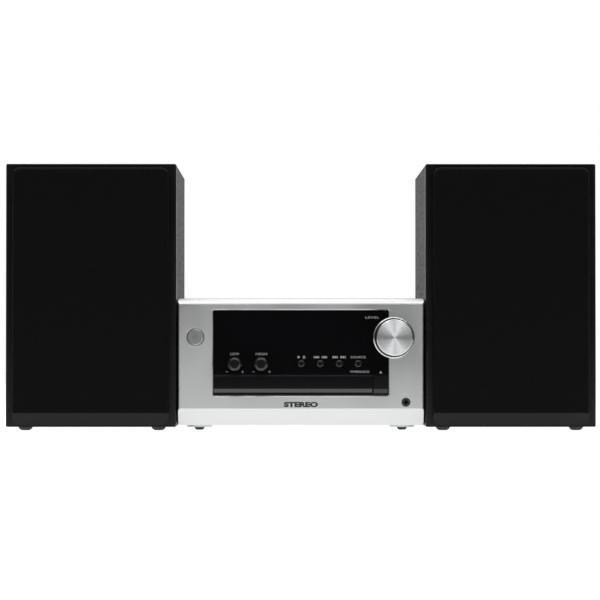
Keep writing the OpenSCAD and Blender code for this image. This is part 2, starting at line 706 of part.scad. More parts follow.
// Line inputs and aerial socket, with the blocks that carry them
module rear_sockets() color([0.12, 0.12, 0.12]) union() {
    for (x = aux_x) difference() {
        union() {
            block([x - 6.9, rear_y - 14, 10.6], [x + 6.9, rear_y - 1, socket_z + 7]);
            rod_y([x, socket_z], 6, rear_y - 2, rear_y + 0.8);
            rod_y([x, socket_z], 4.15, rear_y, rear_y + socket_proud);
        }
        rod_y([x, socket_z], 1.65, rear_y - 6, rear_y + socket_proud + 1);
    }
    difference() {
        union() {
            block([antenna_x - 9, rear_y - 14, 10.6], [antenna_x + 9, rear_y - 1, socket_z + 9]);
            rod_y([antenna_x, socket_z], 7, rear_y - 2, rear_y + 1);
            rod_y([antenna_x, socket_z], 4.75, rear_y, rear_y + socket_proud);
        }
        rod_y([antenna_x, socket_z], 3.9, rear_y + 1, rear_y + socket_proud + 1);
    }
}

// Two-pin mains inlet in its figure-of-eight recess
module mains_inlet() color([0.08, 0.08, 0.08]) difference() {
    union() {
        slab(
            inlet_at[0] - 12, inlet_at[0] + 12, rear_y - 17, rear_y,
            inlet_at[1] - 8, inlet_at[1] + 8, 1.4
        );
        slab(
            inlet_at[0] - 14, inlet_at[0] + 14, rear_y, rear_y + 1.5,
            inlet_at[1] - 10, inlet_at[1] + 10, 2.5
        );
    }
    difference() {
        slab(
            inlet_at[0] - 8.3, inlet_at[0] + 8.3, rear_y - 12, rear_y + 2,
            inlet_at[1] - 4.3, inlet_at[1] + 4.3, 4.2
        );
        for (s = [-1, 1]) rod_y([inlet_at[0] + s * 4.3, inlet_at[1]], 1.2, rear_y - 13, rear_y - 1.5);
    }
}

// Speaker terminals: four clamp units side by side, each with a wire hole and a lever pocket
module terminal_block() color([0.08, 0.08, 0.08]) for (i = [0:3]) let (x = lever_x0 + lever_step * i)
    difference() {
        block(
            [x - (i == 0 ? terminal_end : terminal_half), rear_y - 13, 16],
            [x + (i == 3 ? terminal_end : terminal_half), rear_y + 2, 44]
        );
        block([x - 4.6, rear_y - 11.5, 23.4], [x + 4.6, rear_y + 3, 42.6]);
        rod_y([x, 20.6], 1.7, rear_y - 9, rear_y + 3);
        translate([x - 5.2, lever_hinge_y, lever_hinge_z]) rotate([0, 90, 0])
            cylinder(r = 1.2 + run_gap, h = 10.4);
    }

// Spring lever that opens one wire clamp when its tab is pushed in
module terminal_lever(i, shade) color(shade) translate([lever_x0 + lever_step * i, 0, 0]) union() {
    translate([-5.1, lever_hinge_y, lever_hinge_z]) rotate([0, 90, 0]) cylinder(r = 1.2, h = 10.2);
    along_x(-4.2, 4.2) polygon([
        [lever_hinge_y - 1.8, lever_hinge_z + 1.4], [lever_hinge_y - 1.8, 27.4],
        [rear_y + 6.4, 26.6], [rear_y + 7.4, 27.6], [rear_y + 7.2, 29.6],
        [lever_hinge_y + 3.2, 31.4], [lever_hinge_y + 1.8, lever_hinge_z + 1.4]
    ]);
}

// ---------------------------------------------------------------- speakers

// Puts a speaker's part at the left (side = -1) or right (side = 1) speaker
module at_speaker(side) translate([side * speaker_x, 0, 0]) children();

// Wooden cabinet: four walls and a back, with holes for the port and the lead
module cabinet() color([0.16, 0.16, 0.16]) difference() {
    slab(-half_s, half_s, front_y + baffle_t, speaker_rear_y, speaker_foot_h, speaker_h, 1.5);
    block(
        [-half_s + wall_t, front_y, speaker_foot_h + wall_t],
        [half_s - wall_t, speaker_rear_y - wall_t, speaker_h - wall_t]
    );
    rod_y([0, port_z], 20, speaker_rear_y - 20, speaker_rear_y + 1);
    rod_y([0, gland_z], 5.2, speaker_rear_y - 20, speaker_rear_y + 1);
}

// Baffle with stepped driver cut-outs and four holes for the grille's pegs
module baffle() color([0.09, 0.09, 0.09]) difference() {
    intersection() {
        slab(-half_s, half_s, front_y, front_y + baffle_t, speaker_foot_h, speaker_h, 1.5);
        translate([0, 0, speaker_foot_h]) linear_extrude(speaker_h) polygon(concat(
            [[half_s, front_y + baffle_t], [-half_s, front_y + baffle_t]],
            arc([-half_s + 2, front_y + 2], 2, 180, 270),
            arc([half_s - 2, front_y + 2], 2, 270, 360)
        ));
    }
    rod_y([0, woofer_z], 59.3, front_y - 1, front_y + 3.5);
    rod_y([0, woofer_z], 53, front_y, front_y + baffle_t + 1);
    rod_y([0, tweeter_z], 24.3, front_y - 1, front_y + 3);
    rod_y([0, tweeter_z], 20.4, front_y, front_y + baffle_t + 1);
    for (x = [-peg_x, peg_x], z = peg_z) rod_y([x, z], peg_r + 0.1, front_y - 1, front_y + 9);
}

// Side profile of the grille, pulled in by inset on every face
function grille_profile(inset, back_y) = concat(
    [[back_y, grille_z0 + inset], [front_y - grille_t + grille_band_d, grille_z0 + inset]],
    [[front_y - grille_t + inset, grille_z0 + grille_band_h + inset * 0.3]],
    arc([front_y - grille_t + 4, grille_z1 - 4], 4 - inset, 180, 90),
    [[back_y, grille_z1 - inset]]
);

// Solid outline of the grille, with round corners seen from the front and round side edges
module grille_form(inset, back_y) intersection() {
    along_x(-grille_w / 2 + inset, grille_w / 2 - inset) polygon(grille_profile(inset, back_y));
    slab(
        -grille_w / 2 + inset, grille_w / 2 - inset, front_y - grille_t - 1, back_y,
        grille_z0 + inset, grille_z1 - inset, 6 - inset
    );
    translate([0, 0, grille_z0 - 1]) linear_extrude(speaker_h) polygon(concat(
        [[grille_w / 2 - inset, back_y], [-grille_w / 2 + inset, back_y]],
        arc([-grille_w / 2 + 3.5, front_y - grille_t + 3.5], 3.5 - inset, 180, 270),
        arc([grille_w / 2 - 3.5, front_y - grille_t + 3.5], 3.5 - inset, 270, 360)
    ));
}

// Moulded grille frame with two openings and four pegs
module grille_frame() color([0.07, 0.07, 0.07]) union() {
    difference() {
        grille_form(cloth_t + 0.05, front_y - 0.3);
        slab(-57, 57, front_y - 20, front_y + 1, 24, 146, 8);
        slab(-57, 57, front_y - 20, front_y + 1, 152, 216, 8);
    }
    for (x = [-peg_x, peg_x], z = peg_z) turned_y([x, z], [
        [0, front_y - 3], [peg_r, front_y - 3], [peg_r, front_y + 6.5],
        [peg_r - 1.2, front_y + 8], [0, front_y + 8]
    ]);
}

// Cloth stretched over the grille frame, wrapped back around its edges
module grille_cloth() color([0.05, 0.05, 0.05]) difference() {
    grille_form(0, front_y - 1);
    grille_form(cloth_t, front_y);
}

// Pressed woofer basket with its magnet; the coil moves in the ring gap of the magnet
module woofer_frame() color([0.2, 0.2, 0.2]) difference() {
    translate([0, front_y, 0]) turned_y([0, woofer_z], [
        [50.2, 0], [59, 0], [59, 3.4], [52.8, 3.4], [52.8, 6], [43, 30], [36, 32], [36, 50], [33, 52],
        [0, 52], [0, 24], [13.2, 24], [13.2, 44], [15.4, 44], [15.4, 30], [40, 28.5], [49.5, 6.5],
        [50.2, 4.5]
    ]);
    for (a = [45:90:315]) translate([0, 0, woofer_z]) rotate([0, a, 0])
        block([30, front_y + 9, -14], [60, front_y + 26, 14]);
}

// Moving woofer parts: dust cap, cone, rolled surround, spider and voice coil
module woofer_cone()
    color([0.12, 0.12, 0.12]) translate([0, front_y, 0]) turned_y([0, woofer_z], concat(
    [[0, 5], [8, 6], [14, 9.4], [39.5, 0.6]],
    arc([44, 0.6], 4, 180, 360, 8),
    [[49.8, 0.2], [49.8, 0.9], [47, 1.1]],
    arc([44, 0.6], 3.2, 0, -180, 8),
    [[39.8, 1.6], [14.6, 11], [14.6, 19.6], [41.4, 19.6], [41.4, 20.2], [14.6, 20.2], [14.6, 34]],
    [[13.6, 34], [13.6, 10.4], [8, 6.9], [0, 5.9]]
));

// Tweeter: face plate, dome, magnet cup and series capacitor
module tweeter() color([0.1, 0.1, 0.1]) union() {
    turned_y([0, tweeter_z], [
        [0, front_y - 0.4], [6, front_y + 0.5], [11, front_y + 3], [13, front_y + 3], [22, front_y],
        [24, front_y], [24, front_y + 2.9], [20, front_y + 2.9], [20, front_y + 20], [0, front_y + 20]
    ]);
    translate([0, front_y + 19.9, tweeter_z]) rotate([-90, 0, 0]) cylinder(r = 6, h = 16);
}

// Flared bass port, open to the rear
module port_tube() color([0.07, 0.07, 0.07]) turned_y([0, port_z], [
    [17, speaker_rear_y - 95], [19.4, speaker_rear_y - 95], [19.4, speaker_rear_y],
    [25, speaker_rear_y], [25, speaker_rear_y + 1.2], [24, speaker_rear_y + 2],
    [20.5, speaker_rear_y + 2], [18.2, speaker_rear_y - 0.5], [17, speaker_rear_y - 5]
]);

// Gland where the speaker's lead leaves the cabinet
module cord_gland() color([0.07, 0.07, 0.07]) translate([0, speaker_rear_y, 0]) turned_y([0, gland_z], [
    [2.5, -wall_t - 2], [5, -wall_t - 2], [5, 0], [8, 0], [8, 1.6], [5.2, 3.4], [2.5, 3.4]
]);

// Pads under a speaker
module speaker_feet() color([0.12, 0.12, 0.12])
    for (x = [-57.5, 57.5], y = [front_y + 17, speaker_rear_y - 17])
        turned_z([x, y], [
            [0, 0], [3.2, 0], [4.9, 0.8], [6, 2.2], [6.2, speaker_foot_h], [0, speaker_foot_h]
        ]);

// ---------------------------------------------------------------- nodes

chassis();
top_cover();
front_panel();
fascia_frame();
display_window();
display_module();
control_board();
volume_bezel();
phones_jack();
loader_frame();
loading_motor();
main_board();
power_board();
heat_sink();
rear_sockets();
mains_inlet();
terminal_block();
unit_feet();
case_screws();
volume_knob();
tone_knob(bass_at);  // bass_knob
tone_knob(treble_at);  // treble_knob
power_button();
round_button(0);  // play_button
round_button(1);  // skip_back_button
round_button(2);  // skip_forward_button
round_button(3);  // selector_button
eject_button();
disc_tray();
tray_flap();
tray_gear();
motor_pinion();
traverse();
turntable();
pickup();
clamp_puck();
terminal_lever(0, "black");  // terminal_lever_1
terminal_lever(1, "firebrick");  // terminal_lever_2
terminal_lever(2, "black");  // terminal_lever_3
terminal_lever(3, "firebrick");  // terminal_lever_4
at_speaker(-1) cabinet();  // left_cabinet
at_speaker(-1) baffle();  // left_baffle
at_speaker(-1) grille_frame();  // left_grille_frame
at_speaker(-1) grille_cloth();  // left_grille_cloth
at_speaker(-1) woofer_frame();  // left_woofer_frame
at_speaker(-1) woofer_cone();  // left_woofer_cone
at_speaker(-1) tweeter();  // left_tweeter
at_speaker(-1) port_tube();  // left_port_tube
at_speaker(-1) cord_gland();  // left_cord_gland
at_speaker(-1) speaker_feet();  // left_feet
at_speaker(1) cabinet();  // right_cabinet
at_speaker(1) baffle();  // right_baffle
at_speaker(1) grille_frame();  // right_grille_frame
at_speaker(1) grille_cloth();  // right_grille_cloth
at_speaker(1) woofer_frame();  // right_woofer_frame
at_speaker(1) woofer_cone();  // right_woofer_cone
at_speaker(1) tweeter();  // right_tweeter
at_speaker(1) port_tube();  // right_port_tube
at_speaker(1) cord_gland();  // right_cord_gland
at_speaker(1) speaker_feet();  // right_feet
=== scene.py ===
"""Looks of a compact stereo system: a silver main unit between two black bookshelf speakers."""
import logging
import math
from dataclasses import dataclass
from enum import Enum
from typing import Callable, Iterable, Sequence

import bmesh
import bpy
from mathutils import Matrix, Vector


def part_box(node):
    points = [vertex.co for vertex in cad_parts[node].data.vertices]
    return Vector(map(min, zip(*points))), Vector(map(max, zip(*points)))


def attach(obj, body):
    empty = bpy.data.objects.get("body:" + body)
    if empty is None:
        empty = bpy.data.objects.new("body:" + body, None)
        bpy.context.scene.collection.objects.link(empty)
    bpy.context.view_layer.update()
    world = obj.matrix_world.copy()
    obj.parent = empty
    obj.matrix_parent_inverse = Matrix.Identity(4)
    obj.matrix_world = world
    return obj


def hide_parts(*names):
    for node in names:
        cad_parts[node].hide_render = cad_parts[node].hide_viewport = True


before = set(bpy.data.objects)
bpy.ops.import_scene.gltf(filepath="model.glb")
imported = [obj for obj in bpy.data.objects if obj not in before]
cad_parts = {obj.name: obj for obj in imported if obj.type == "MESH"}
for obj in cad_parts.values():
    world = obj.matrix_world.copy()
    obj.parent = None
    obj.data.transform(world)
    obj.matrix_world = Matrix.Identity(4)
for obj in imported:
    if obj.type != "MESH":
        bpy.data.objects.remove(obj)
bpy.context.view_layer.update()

LOG = logging.getLogger("stereo")
MM = 0.001
PRINT_DEPTH = 0.05 * MM
Colour = tuple[float, float, float]
Flat = tuple[float, float]
Point = tuple[float, float, float]
Socket = bpy.types.NodeSocket
Number = float | Socket


class Side(Enum):
    """Which of the two speakers a piece belongs to."""

    LEFT = "left"
    RIGHT = "right"


class Metal(Enum):
    """How a bare metal surface was worked."""

    TURNED = "turned"
    DRAWN = "drawn"
    PLATED = "plated"


class Symbol(Enum):
    """The marks printed over the controls."""

    PLAY = "play"
    PAUSE = "pause"
    NEXT = "next"
    BACK = "back"
    EJECT = "eject"
    PLUS = "plus"
    MINUS = "minus"


# ---------------------------------------------------------------- shader graphs


class Graph:
    """Adds nodes to one node tree and links them."""

    def __init__(self, tree: bpy.types.NodeTree) -> None:
        """Keeps the tree.

        Args:
            tree: the material's or group's node tree.
        """
        self.tree = tree

    def add(self, kind: str, **settings: object) -> bpy.types.Node:
        """Adds a node.

        Args:
            kind: the node's type name without "ShaderNode".
            settings: the node's own properties.

        Returns:
            The new node.
        """
        node = self.tree.nodes.new("ShaderNode" + kind)
        for key, value in settings.items():
            setattr(node, key, value)
        return node

    def feed(self, socket: Socket, value: object) -> None:
        """Links a socket to another, or sets its value.

        Args:
            socket: the input.
            value: an output socket, a number, a vector or a colour.
        """
        if isinstance(value, bpy.types.NodeSocket):
            self.tree.links.new(value, socket)
        elif socket.type == "RGBA" and len(value) == 3:
            socket.default_value = (*value, 1.0)
        else:
            socket.default_value = value

    def math(self, operation: str, a: Number, b: Number = 0.0, clamp: bool = False) -> Socket:
        """Returns the result of a Math node on a and b."""
        node = self.add("Math", operation=operation, use_clamp=clamp)
        self.feed(node.inputs[0], a)
        self.feed(node.inputs[1], b)
        return node.outputs[0]

    def vector(self, operation: str, a: object, b: object) -> bpy.types.Node:
        """Returns a Vector Math node on a and b."""
        node = self.add("VectorMath", operation=operation)
        self.feed(node.inputs[0], a)
        self.feed(node.inputs[1], b)
        return node

    def place(self) -> Socket:
        """Returns the point on the surface, in metres in the object's own frame."""
        return self.add("TexCoord").outputs["Object"]

    def split(self, vector: Socket) -> tuple[Socket, Socket, Socket]:
        """Returns the X, Y and Z of a vector."""
        node = self.add("SeparateXYZ")
        self.feed(node.inputs[0], vector)
        return node.outputs[0], node.outputs[1], node.outputs[2]

    def noise(self, where: Socket, scale: Number, detail: float = 2.0, rough: float = 0.5) -> Socket:
        """Returns a noise from 0 to 1.

        Args:
            where: the point it is read at.
            scale: how many features to a metre.
            detail: how many finer layers it has.
            rough: how strong the finer layers are.

        Returns:
            The noise's value.
        """
        node = self.add("TexNoise")
        self.feed(node.inputs["Vector"], where)
        self.feed(node.inputs["Scale"], scale)
        self.feed(node.inputs["Detail"], detail)
        self.feed(node.inputs["Roughness"], rough)
        return node.outputs["Fac"]

    def fade(self, value: Socket, low: float, high: float, start: float = 0.0, end: float = 1.0) -> Socket:
        """Maps a value smoothly from low..high to start..end."""
        node = self.add("MapRange", interpolation_type="SMOOTHSTEP")
        for index, number in enumerate((value, low, high, start, end)):
            self.feed(node.inputs[index], number)
        return node.outputs[0]

    def tint(self, share: Socket, plain: object, marked: object) -> Socket:
        """Mixes two colours by a varying share."""
        node = self.add("Mix", data_type="RGBA")
        self.feed(node.inputs[0], share)
        self.feed(node.inputs[6], plain)
        self.feed(node.inputs[7], marked)
        return node.outputs[2]

    def bump(self, height: Socket, depth: float, under: Socket | None = None) -> Socket:
        """Returns a normal that follows a height.

        Args:
            height: from 0 to 1.
            depth: the height's full size in metres.
            under: a normal that this one is added to.

        Returns:
            The normal.
        """
        node = self.add("Bump")
        node.inputs["Strength"].default_value = 1.0
        node.inputs["Distance"].default_value = depth
        self.feed(node.inputs["Height"], height)
        if under is not None:
            self.feed(node.inputs["Normal"], under)
        return node.outputs["Normal"]

    def group(self, tree: bpy.types.NodeTree, **inputs: object) -> bpy.types.Node:
        """Places a shared group, with its inputs set by name, where _ stands for a space."""
        node = self.add("Group")
        node.node_tree = tree
        for name, value in inputs.items():
            self.feed(node.inputs[name.replace("_", " ")], value)
        return node


class SharedEffects:
    """The surface effects that several finishes share, each a node group built once."""

    def __init__(self) -> None:
        """Starts with no group built."""
        self._built: dict[str, bpy.types.NodeTree] = {}

    def _group(
        self,
        name: str,
        inputs: dict[str, str],
        outputs: Sequence[str],
        fill: Callable[[Graph, dict[str, Socket]], dict[str, Socket]],
    ) -> bpy.types.NodeTree:
        """Builds a group the first time it is asked for.

        Args:
            name: the group's name.
            inputs: each input's name and socket type.
            outputs: the names of its number outputs.
            fill: takes the graph and the inputs, and returns a socket for each output.

        Returns:
            The group's node tree.
        """
        if name in self._built:
            return self._built[name]
        tree = bpy.data.node_groups.new(name, "ShaderNodeTree")
        for label, kind in inputs.items():
            tree.interface.new_socket(name=label, in_out="INPUT", socket_type=kind)
        for label in outputs:
            tree.interface.new_socket(name=label, in_out="OUTPUT", socket_type="NodeSocketFloat")
        entry = tree.nodes.new("NodeGroupInput")
        leave = tree.nodes.new("NodeGroupOutput")
        graph = Graph(tree)
        made = fill(graph, {label: entry.outputs[label] for label in inputs})
        for label, socket in made.items():
            tree.links.new(socket, leave.inputs[label])
        self._built[name] = tree
        return tree

    def grain(self) -> bpy.types.NodeTree:
        """A moulded or painted skin: fine Height and slow Patch, by Size in metres."""

        def fill(g: Graph, given: dict[str, Socket]) -> dict[str, Socket]:
            fine = g.math("DIVIDE", 1.0, given["Size"])
            slow = g.math("DIVIDE", 0.04, given["Size"])
            return {"Height": g.noise(g.place(), fine, 3.0, 0.6), "Patch": g.noise(g.place(), slow, 2.0)}

        return self._group("skin grain", {"Size": "NodeSocketFloat"}, ("Height", "Patch"), fill)

    def wear(self) -> bpy.types.NodeTree:
        """Rubbed edges: a Mask that is high on edges sharper than Radius."""

        def fill(g: Graph, given: dict[str, Socket]) -> dict[str, Socket]:
            round_edge = g.add("Bevel", samples=4)
            g.feed(round_edge.inputs["Radius"], given["Radius"])
            facing = g.add("NewGeometry").outputs["Normal"]
            turn = g.vector("DOT_PRODUCT", round_edge.outputs["Normal"], facing).outputs["Value"]
            edge = g.math("MULTIPLY", g.math("SUBTRACT", 1.0, turn), 6.0, clamp=True)
            broken = g.fade(g.noise(g.place(), 900.0, 4.0, 0.7), 0.35, 0.65)
            return {"Mask": g.math("MULTIPLY", edge, broken)}

        return self._group("edge wear", {"Radius": "NodeSocketFloat"}, ("Mask",), fill)

    def dust(self) -> bpy.types.NodeTree:
        """Settled dust: a Mask on surfaces that face up, and specks everywhere."""

        def fill(g: Graph, given: dict[str, Socket]) -> dict[str, Socket]:
            up = g.split(g.add("NewGeometry").outputs["Normal"])[2]
            level = g.fade(up, 0.5, 1.0)
            cloud = g.fade(g.noise(g.place(), 160.0, 5.0, 0.7), 0.35, 0.75)
            speck = g.fade(g.noise(g.place(), 2600.0, 1.0), 0.76, 0.82)
            settled = g.math("MULTIPLY", g.math("MULTIPLY", level, cloud), given["Amount"])
            return {"Mask": settled, "Speck": g.math("MULTIPLY", speck, given["Amount"])}

        return self._group("dust", {"Amount": "NodeSocketFloat"}, ("Mask", "Speck"), fill)

    def handling(self) -> bpy.types.NodeTree:
        """Wiped and handled gloss: a Value near 1 that varies slowly, with hairline Scratch."""

        def fill(g: Graph, given: dict[str, Socket]) -> dict[str, Socket]:
            slow = g.noise(g.place(), 22.0, 3.0, 0.6)
            value = g.math("ADD", 1.0, g.math("MULTIPLY", g.math("SUBTRACT", slow, 0.5), given["Contrast"]))
            leaning = g.vector("MULTIPLY", g.place(), (2400.0, 900.0, 60.0)).outputs[0]
            return {"Value": value, "Scratch": g.fade(g.noise(leaning, 1.0, 0.0), 0.74, 0.78)}

        return self._group("handling", {"Contrast": "NodeSocketFloat"}, ("Value", "Scratch"), fill)

    def turning(self) -> bpy.types.NodeTree:
        """Lathe lines round an axis along Y: a Height that varies with the radius only."""

        def fill(g: Graph, given: dict[str, Socket]) -> dict[str, Socket]:
            from_axis = g.vector("SUBTRACT", g.place(), given["Centre"]).outputs[0]
            x, _, z = g.split(from_axis)
            radius = g.math("SQRT", g.math("ADD", g.math("MULTIPLY", x, x), g.math("MULTIPLY", z, z)))
            line = g.add("TexNoise", noise_dimensions="1D")
            g.feed(line.inputs["W"], g.math("DIVIDE", radius, given["Pitch"]))
            line.inputs["Scale"].default_value = 1.0
            line.inputs["Detail"].default_value = 2.0
            return {"Height": line.outputs["Fac"], "Radius": radius}

        sockets = {"Centre": "NodeSocketVector", "Pitch": "NodeSocketFloat"}
        return self._group("turning lines", sockets, ("Height", "Radius"), fill)

    def streaks(self) -> bpy.types.NodeTree:
        """Long marks, such as rolled metal or wood grain: a Value by Stretch, in features to a metre."""

        def fill(g: Graph, given: dict[str, Socket]) -> dict[str, Socket]:
            pulled = g.vector("MULTIPLY", g.place(), given["Stretch"]).outputs[0]
            pore = g.fade(g.noise(pulled, 2.3, 2.0), 0.56, 0.66)
            return {"Value": g.noise(pulled, 1.0, 4.0, 0.65), "Pore": pore}

        return self._group("streaks", {"Stretch": "NodeSocketVector"}, ("Value", "Pore"), fill)

    def knit(self) -> bpy.types.NodeTree:
        """Knitted cloth: the yarn's Height and the Gap between stitches, by Pitch in metres."""

        def fill(g: Graph, given: dict[str, Socket]) -> dict[str, Socket]:
            x, y, z = g.split(g.place())
            across = g.math("DIVIDE", g.math("ADD", x, y), given["Pitch"])
            along = g.math("DIVIDE", g.math("ADD", z, g.math("MULTIPLY", y, 0.5)), given["Pitch"])
            wave = g.math("SINE", g.math("MULTIPLY", across, 2 * math.pi))
            swing = g.math("SINE", g.math("MULTIPLY", across, math.pi))
            lean = g.math("MULTIPLY", g.math("ABSOLUTE", swing), 0.5)
            rows = g.math("SINE", g.math("MULTIPLY", g.math("ADD", along, lean), 2 * math.pi))
            yarn = g.math("MULTIPLY", g.math("ADD", g.math("MULTIPLY", wave, rows), 1.0), 0.5)
            uneven = g.math("MULTIPLY", g.math("SUBTRACT", g.noise(g.place(), 700.0, 2.0), 0.5), 0.5)
            height = g.math("ADD", yarn, uneven, clamp=True)
            return {"Height": height, "Gap": g.fade(height, 0.34, 0.16)}

        return self._group("knit", {"Pitch": "NodeSocketFloat"}, ("Height", "Gap"), fill)


EFFECTS = SharedEffects()


# ---------------------------------------------------------------- finishes


def dress(name: str, **sockets: object) -> tuple[bpy.types.Material, Graph, bpy.types.Node]:
    """Makes a material with a Principled shader.

    Args:
        name: the material's name.
        sockets: values or links for the shader's inputs, where _ stands for a space.

    Returns:
        The material, its graph and its shader.
    """
    material = bpy.data.materials.new(name)
    material.use_nodes = True
    graph = Graph(material.node_tree)
    shader = material.node_tree.nodes["Principled BSDF"]
    for label, value in sockets.items():
        graph.feed(shader.inputs[label.replace("_", " ")], value)
    return material, graph, shader


@dataclass(frozen=True)
class SilverLacquer:
    """Satin silver lacquer with fine metal flake, over a moulding or folded steel."""

    name: str
    colour: Colour = (0.655, 0.66, 0.665)
    roughness: float = 0.36
    peel: float = 0.0

    def material(self) -> bpy.types.Material:
        """Returns the lacquer's material."""
        mat, g, bsdf = dress(self.name, Metallic=0.94, Coat_Weight=0.15, Coat_Roughness=0.12)
        flake = g.noise(g.place(), 9000.0, 1.0)
        cloud = g.noise(g.place(), 30.0, 3.0)
        worn = g.group(EFFECTS.wear(), Radius=0.0006).outputs["Mask"]
        dusty = g.group(EFFECTS.dust(), Amount=0.22)
        dark = tuple(c * 0.86 for c in self.colour)
        light = tuple(min(1.0, c * 1.10) for c in self.colour)
        base = g.tint(flake, dark, light)
        base = g.tint(g.math("MULTIPLY", worn, 0.5), base, (0.82, 0.82, 0.82))
        base = g.tint(dusty.outputs["Mask"], base, (0.55, 0.54, 0.52))
        g.feed(bsdf.inputs["Base Color"], base)
        rough = g.fade(cloud, 0.2, 0.8, self.roughness * 0.88, self.roughness * 1.14)
        g.feed(bsdf.inputs["Roughness"], g.math("ADD", rough, g.math("MULTIPLY", dusty.outputs["Mask"], 0.3)))
        normal = g.bump(flake, 0.0000012)
        if self.peel:
            skin = g.group(EFFECTS.grain(), Size=0.0009).outputs["Height"]
            normal = g.bump(skin, self.peel, normal)
        g.feed(bsdf.inputs["Normal"], normal)
        return mat


@dataclass(frozen=True)
class PolishedBlack:
    """Polished dark plastic or lacquer with wiping haze, hairlines and a few specks."""

    name: str
    colour: Colour = (0.008, 0.008, 0.009)
    roughness: float = 0.05
    coat: float = 0.6
    dust: float = 0.10
    wave: float = 0.0
    ior: float = 1.49

    def material(self) -> bpy.types.Material:
        """Returns the gloss material."""
        mat, g, bsdf = dress(self.name, IOR=self.ior, Coat_Weight=self.coat, Coat_Roughness=0.03)
        wiped = g.group(EFFECTS.handling(), Contrast=0.9)
        dusty = g.group(EFFECTS.dust(), Amount=self.dust)
        worn = g.group(EFFECTS.wear(), Radius=0.0004).outputs["Mask"]
        settled = g.math("ADD", dusty.outputs["Mask"], dusty.outputs["Speck"], clamp=True)
        base = g.tint(settled, self.colour, (0.20, 0.20, 0.19))
        g.feed(bsdf.inputs["Base Color"], g.tint(g.math("MULTIPLY", worn, 0.25), base, (0.10, 0.10, 0.10)))
        rough = g.math("MULTIPLY", wiped.outputs["Value"], self.roughness)
        rough = g.math("ADD", rough, g.math("MULTIPLY", wiped.outputs["Scratch"], 0.05))
        g.feed(bsdf.inputs["Roughness"], g.math("ADD", rough, g.math("MULTIPLY", settled, 0.4), clamp=True))
        normal = g.bump(wiped.outputs["Scratch"], 0.0000008)
        if self.wave:
            normal = g.bump(g.noise(g.place(), 60.0, 1.0), self.wave, normal)
        g.feed(bsdf.inputs["Normal"], normal)
        return mat


@dataclass(frozen=True)
class Moulded:
    """Moulded plastic or rubber with an eroded skin."""

    name: str
    colour: Colour
    roughness: float = 0.5
    grain: float = 0.00035
    depth: float = 0.000012
    dust: float = 0.25
    edge: Colour = (0.12, 0.12, 0.12)

    def material(self) -> bpy.types.Material:
        """Returns the moulding's material."""
        mat, g, bsdf = dress(self.name, IOR=1.5)
        skin = g.group(EFFECTS.grain(), Size=self.grain)
        worn = g.group(EFFECTS.wear(), Radius=0.0005).outputs["Mask"]
        dusty = g.group(EFFECTS.dust(), Amount=self.dust).outputs["Mask"]
        dark = tuple(c * 0.82 for c in self.colour)
        light = tuple(min(1.0, c * 1.18) for c in self.colour)
        base = g.tint(skin.outputs["Patch"], dark, light)
        base = g.tint(g.math("MULTIPLY", worn, 0.4), base, self.edge)
        g.feed(bsdf.inputs["Base Color"], g.tint(dusty, base, (0.22, 0.21, 0.20)))
        rough = g.fade(skin.outputs["Patch"], 0.2, 0.8, self.roughness * 0.9, self.roughness * 1.1)
        g.feed(bsdf.inputs["Roughness"], g.math("ADD", rough, g.math("MULTIPLY", dusty, 0.3), clamp=True))
        g.feed(bsdf.inputs["Normal"], g.bump(skin.outputs["Height"], self.depth))
        return mat


@dataclass(frozen=True)
class BareMetal:
    """Bare metal: turned on a lathe, drawn or rolled, or plated sheet."""

    name: str
    worked: Metal
    colour: Colour = (0.80, 0.81, 0.82)
    roughness: float = 0.25
    centre: Point = (0.0, 0.0, 0.0)
    pitch: float = 0.00022
    stretch: Point = (12.0, 900.0, 900.0)

    def material(self) -> bpy.types.Material:
        """Returns the metal's material."""
        mat, g, bsdf = dress(self.name, Metallic=1.0)
        if self.worked is Metal.TURNED:
            lines = g.group(EFFECTS.turning(), Centre=self.centre, Pitch=self.pitch).outputs["Height"]
            bsdf.inputs["Anisotropic"].default_value = 1.0
            bsdf.inputs["Anisotropic Rotation"].default_value = 0.25
            g.feed(bsdf.inputs["Tangent"], g.add("Tangent", direction_type="RADIAL", axis="Y").outputs[0])
            depth = 0.0000016
        elif self.worked is Metal.DRAWN:
            lines = g.group(EFFECTS.streaks(), Stretch=self.stretch).outputs["Value"]
            depth = 0.000003
        else:
            cells = g.add("TexVoronoi")
            cells.inputs["Scale"].default_value = 260.0
            g.feed(cells.inputs["Vector"], g.place())
            lines = cells.outputs["Distance"]
            depth = 0.0000008
        dark = tuple(c * 0.88 for c in self.colour)
        worn = g.group(EFFECTS.wear(), Radius=0.0004).outputs["Mask"]
        base = g.tint(lines, dark, self.colour)
        g.feed(bsdf.inputs["Base Color"], g.tint(g.math("MULTIPLY", worn, 0.5), base, (0.9, 0.9, 0.9)))
        g.feed(bsdf.inputs["Roughness"], g.fade(lines, 0.2, 0.8, self.roughness * 0.85, self.roughness * 1.2))
        g.feed(bsdf.inputs["Normal"], g.bump(lines, depth))
        return mat


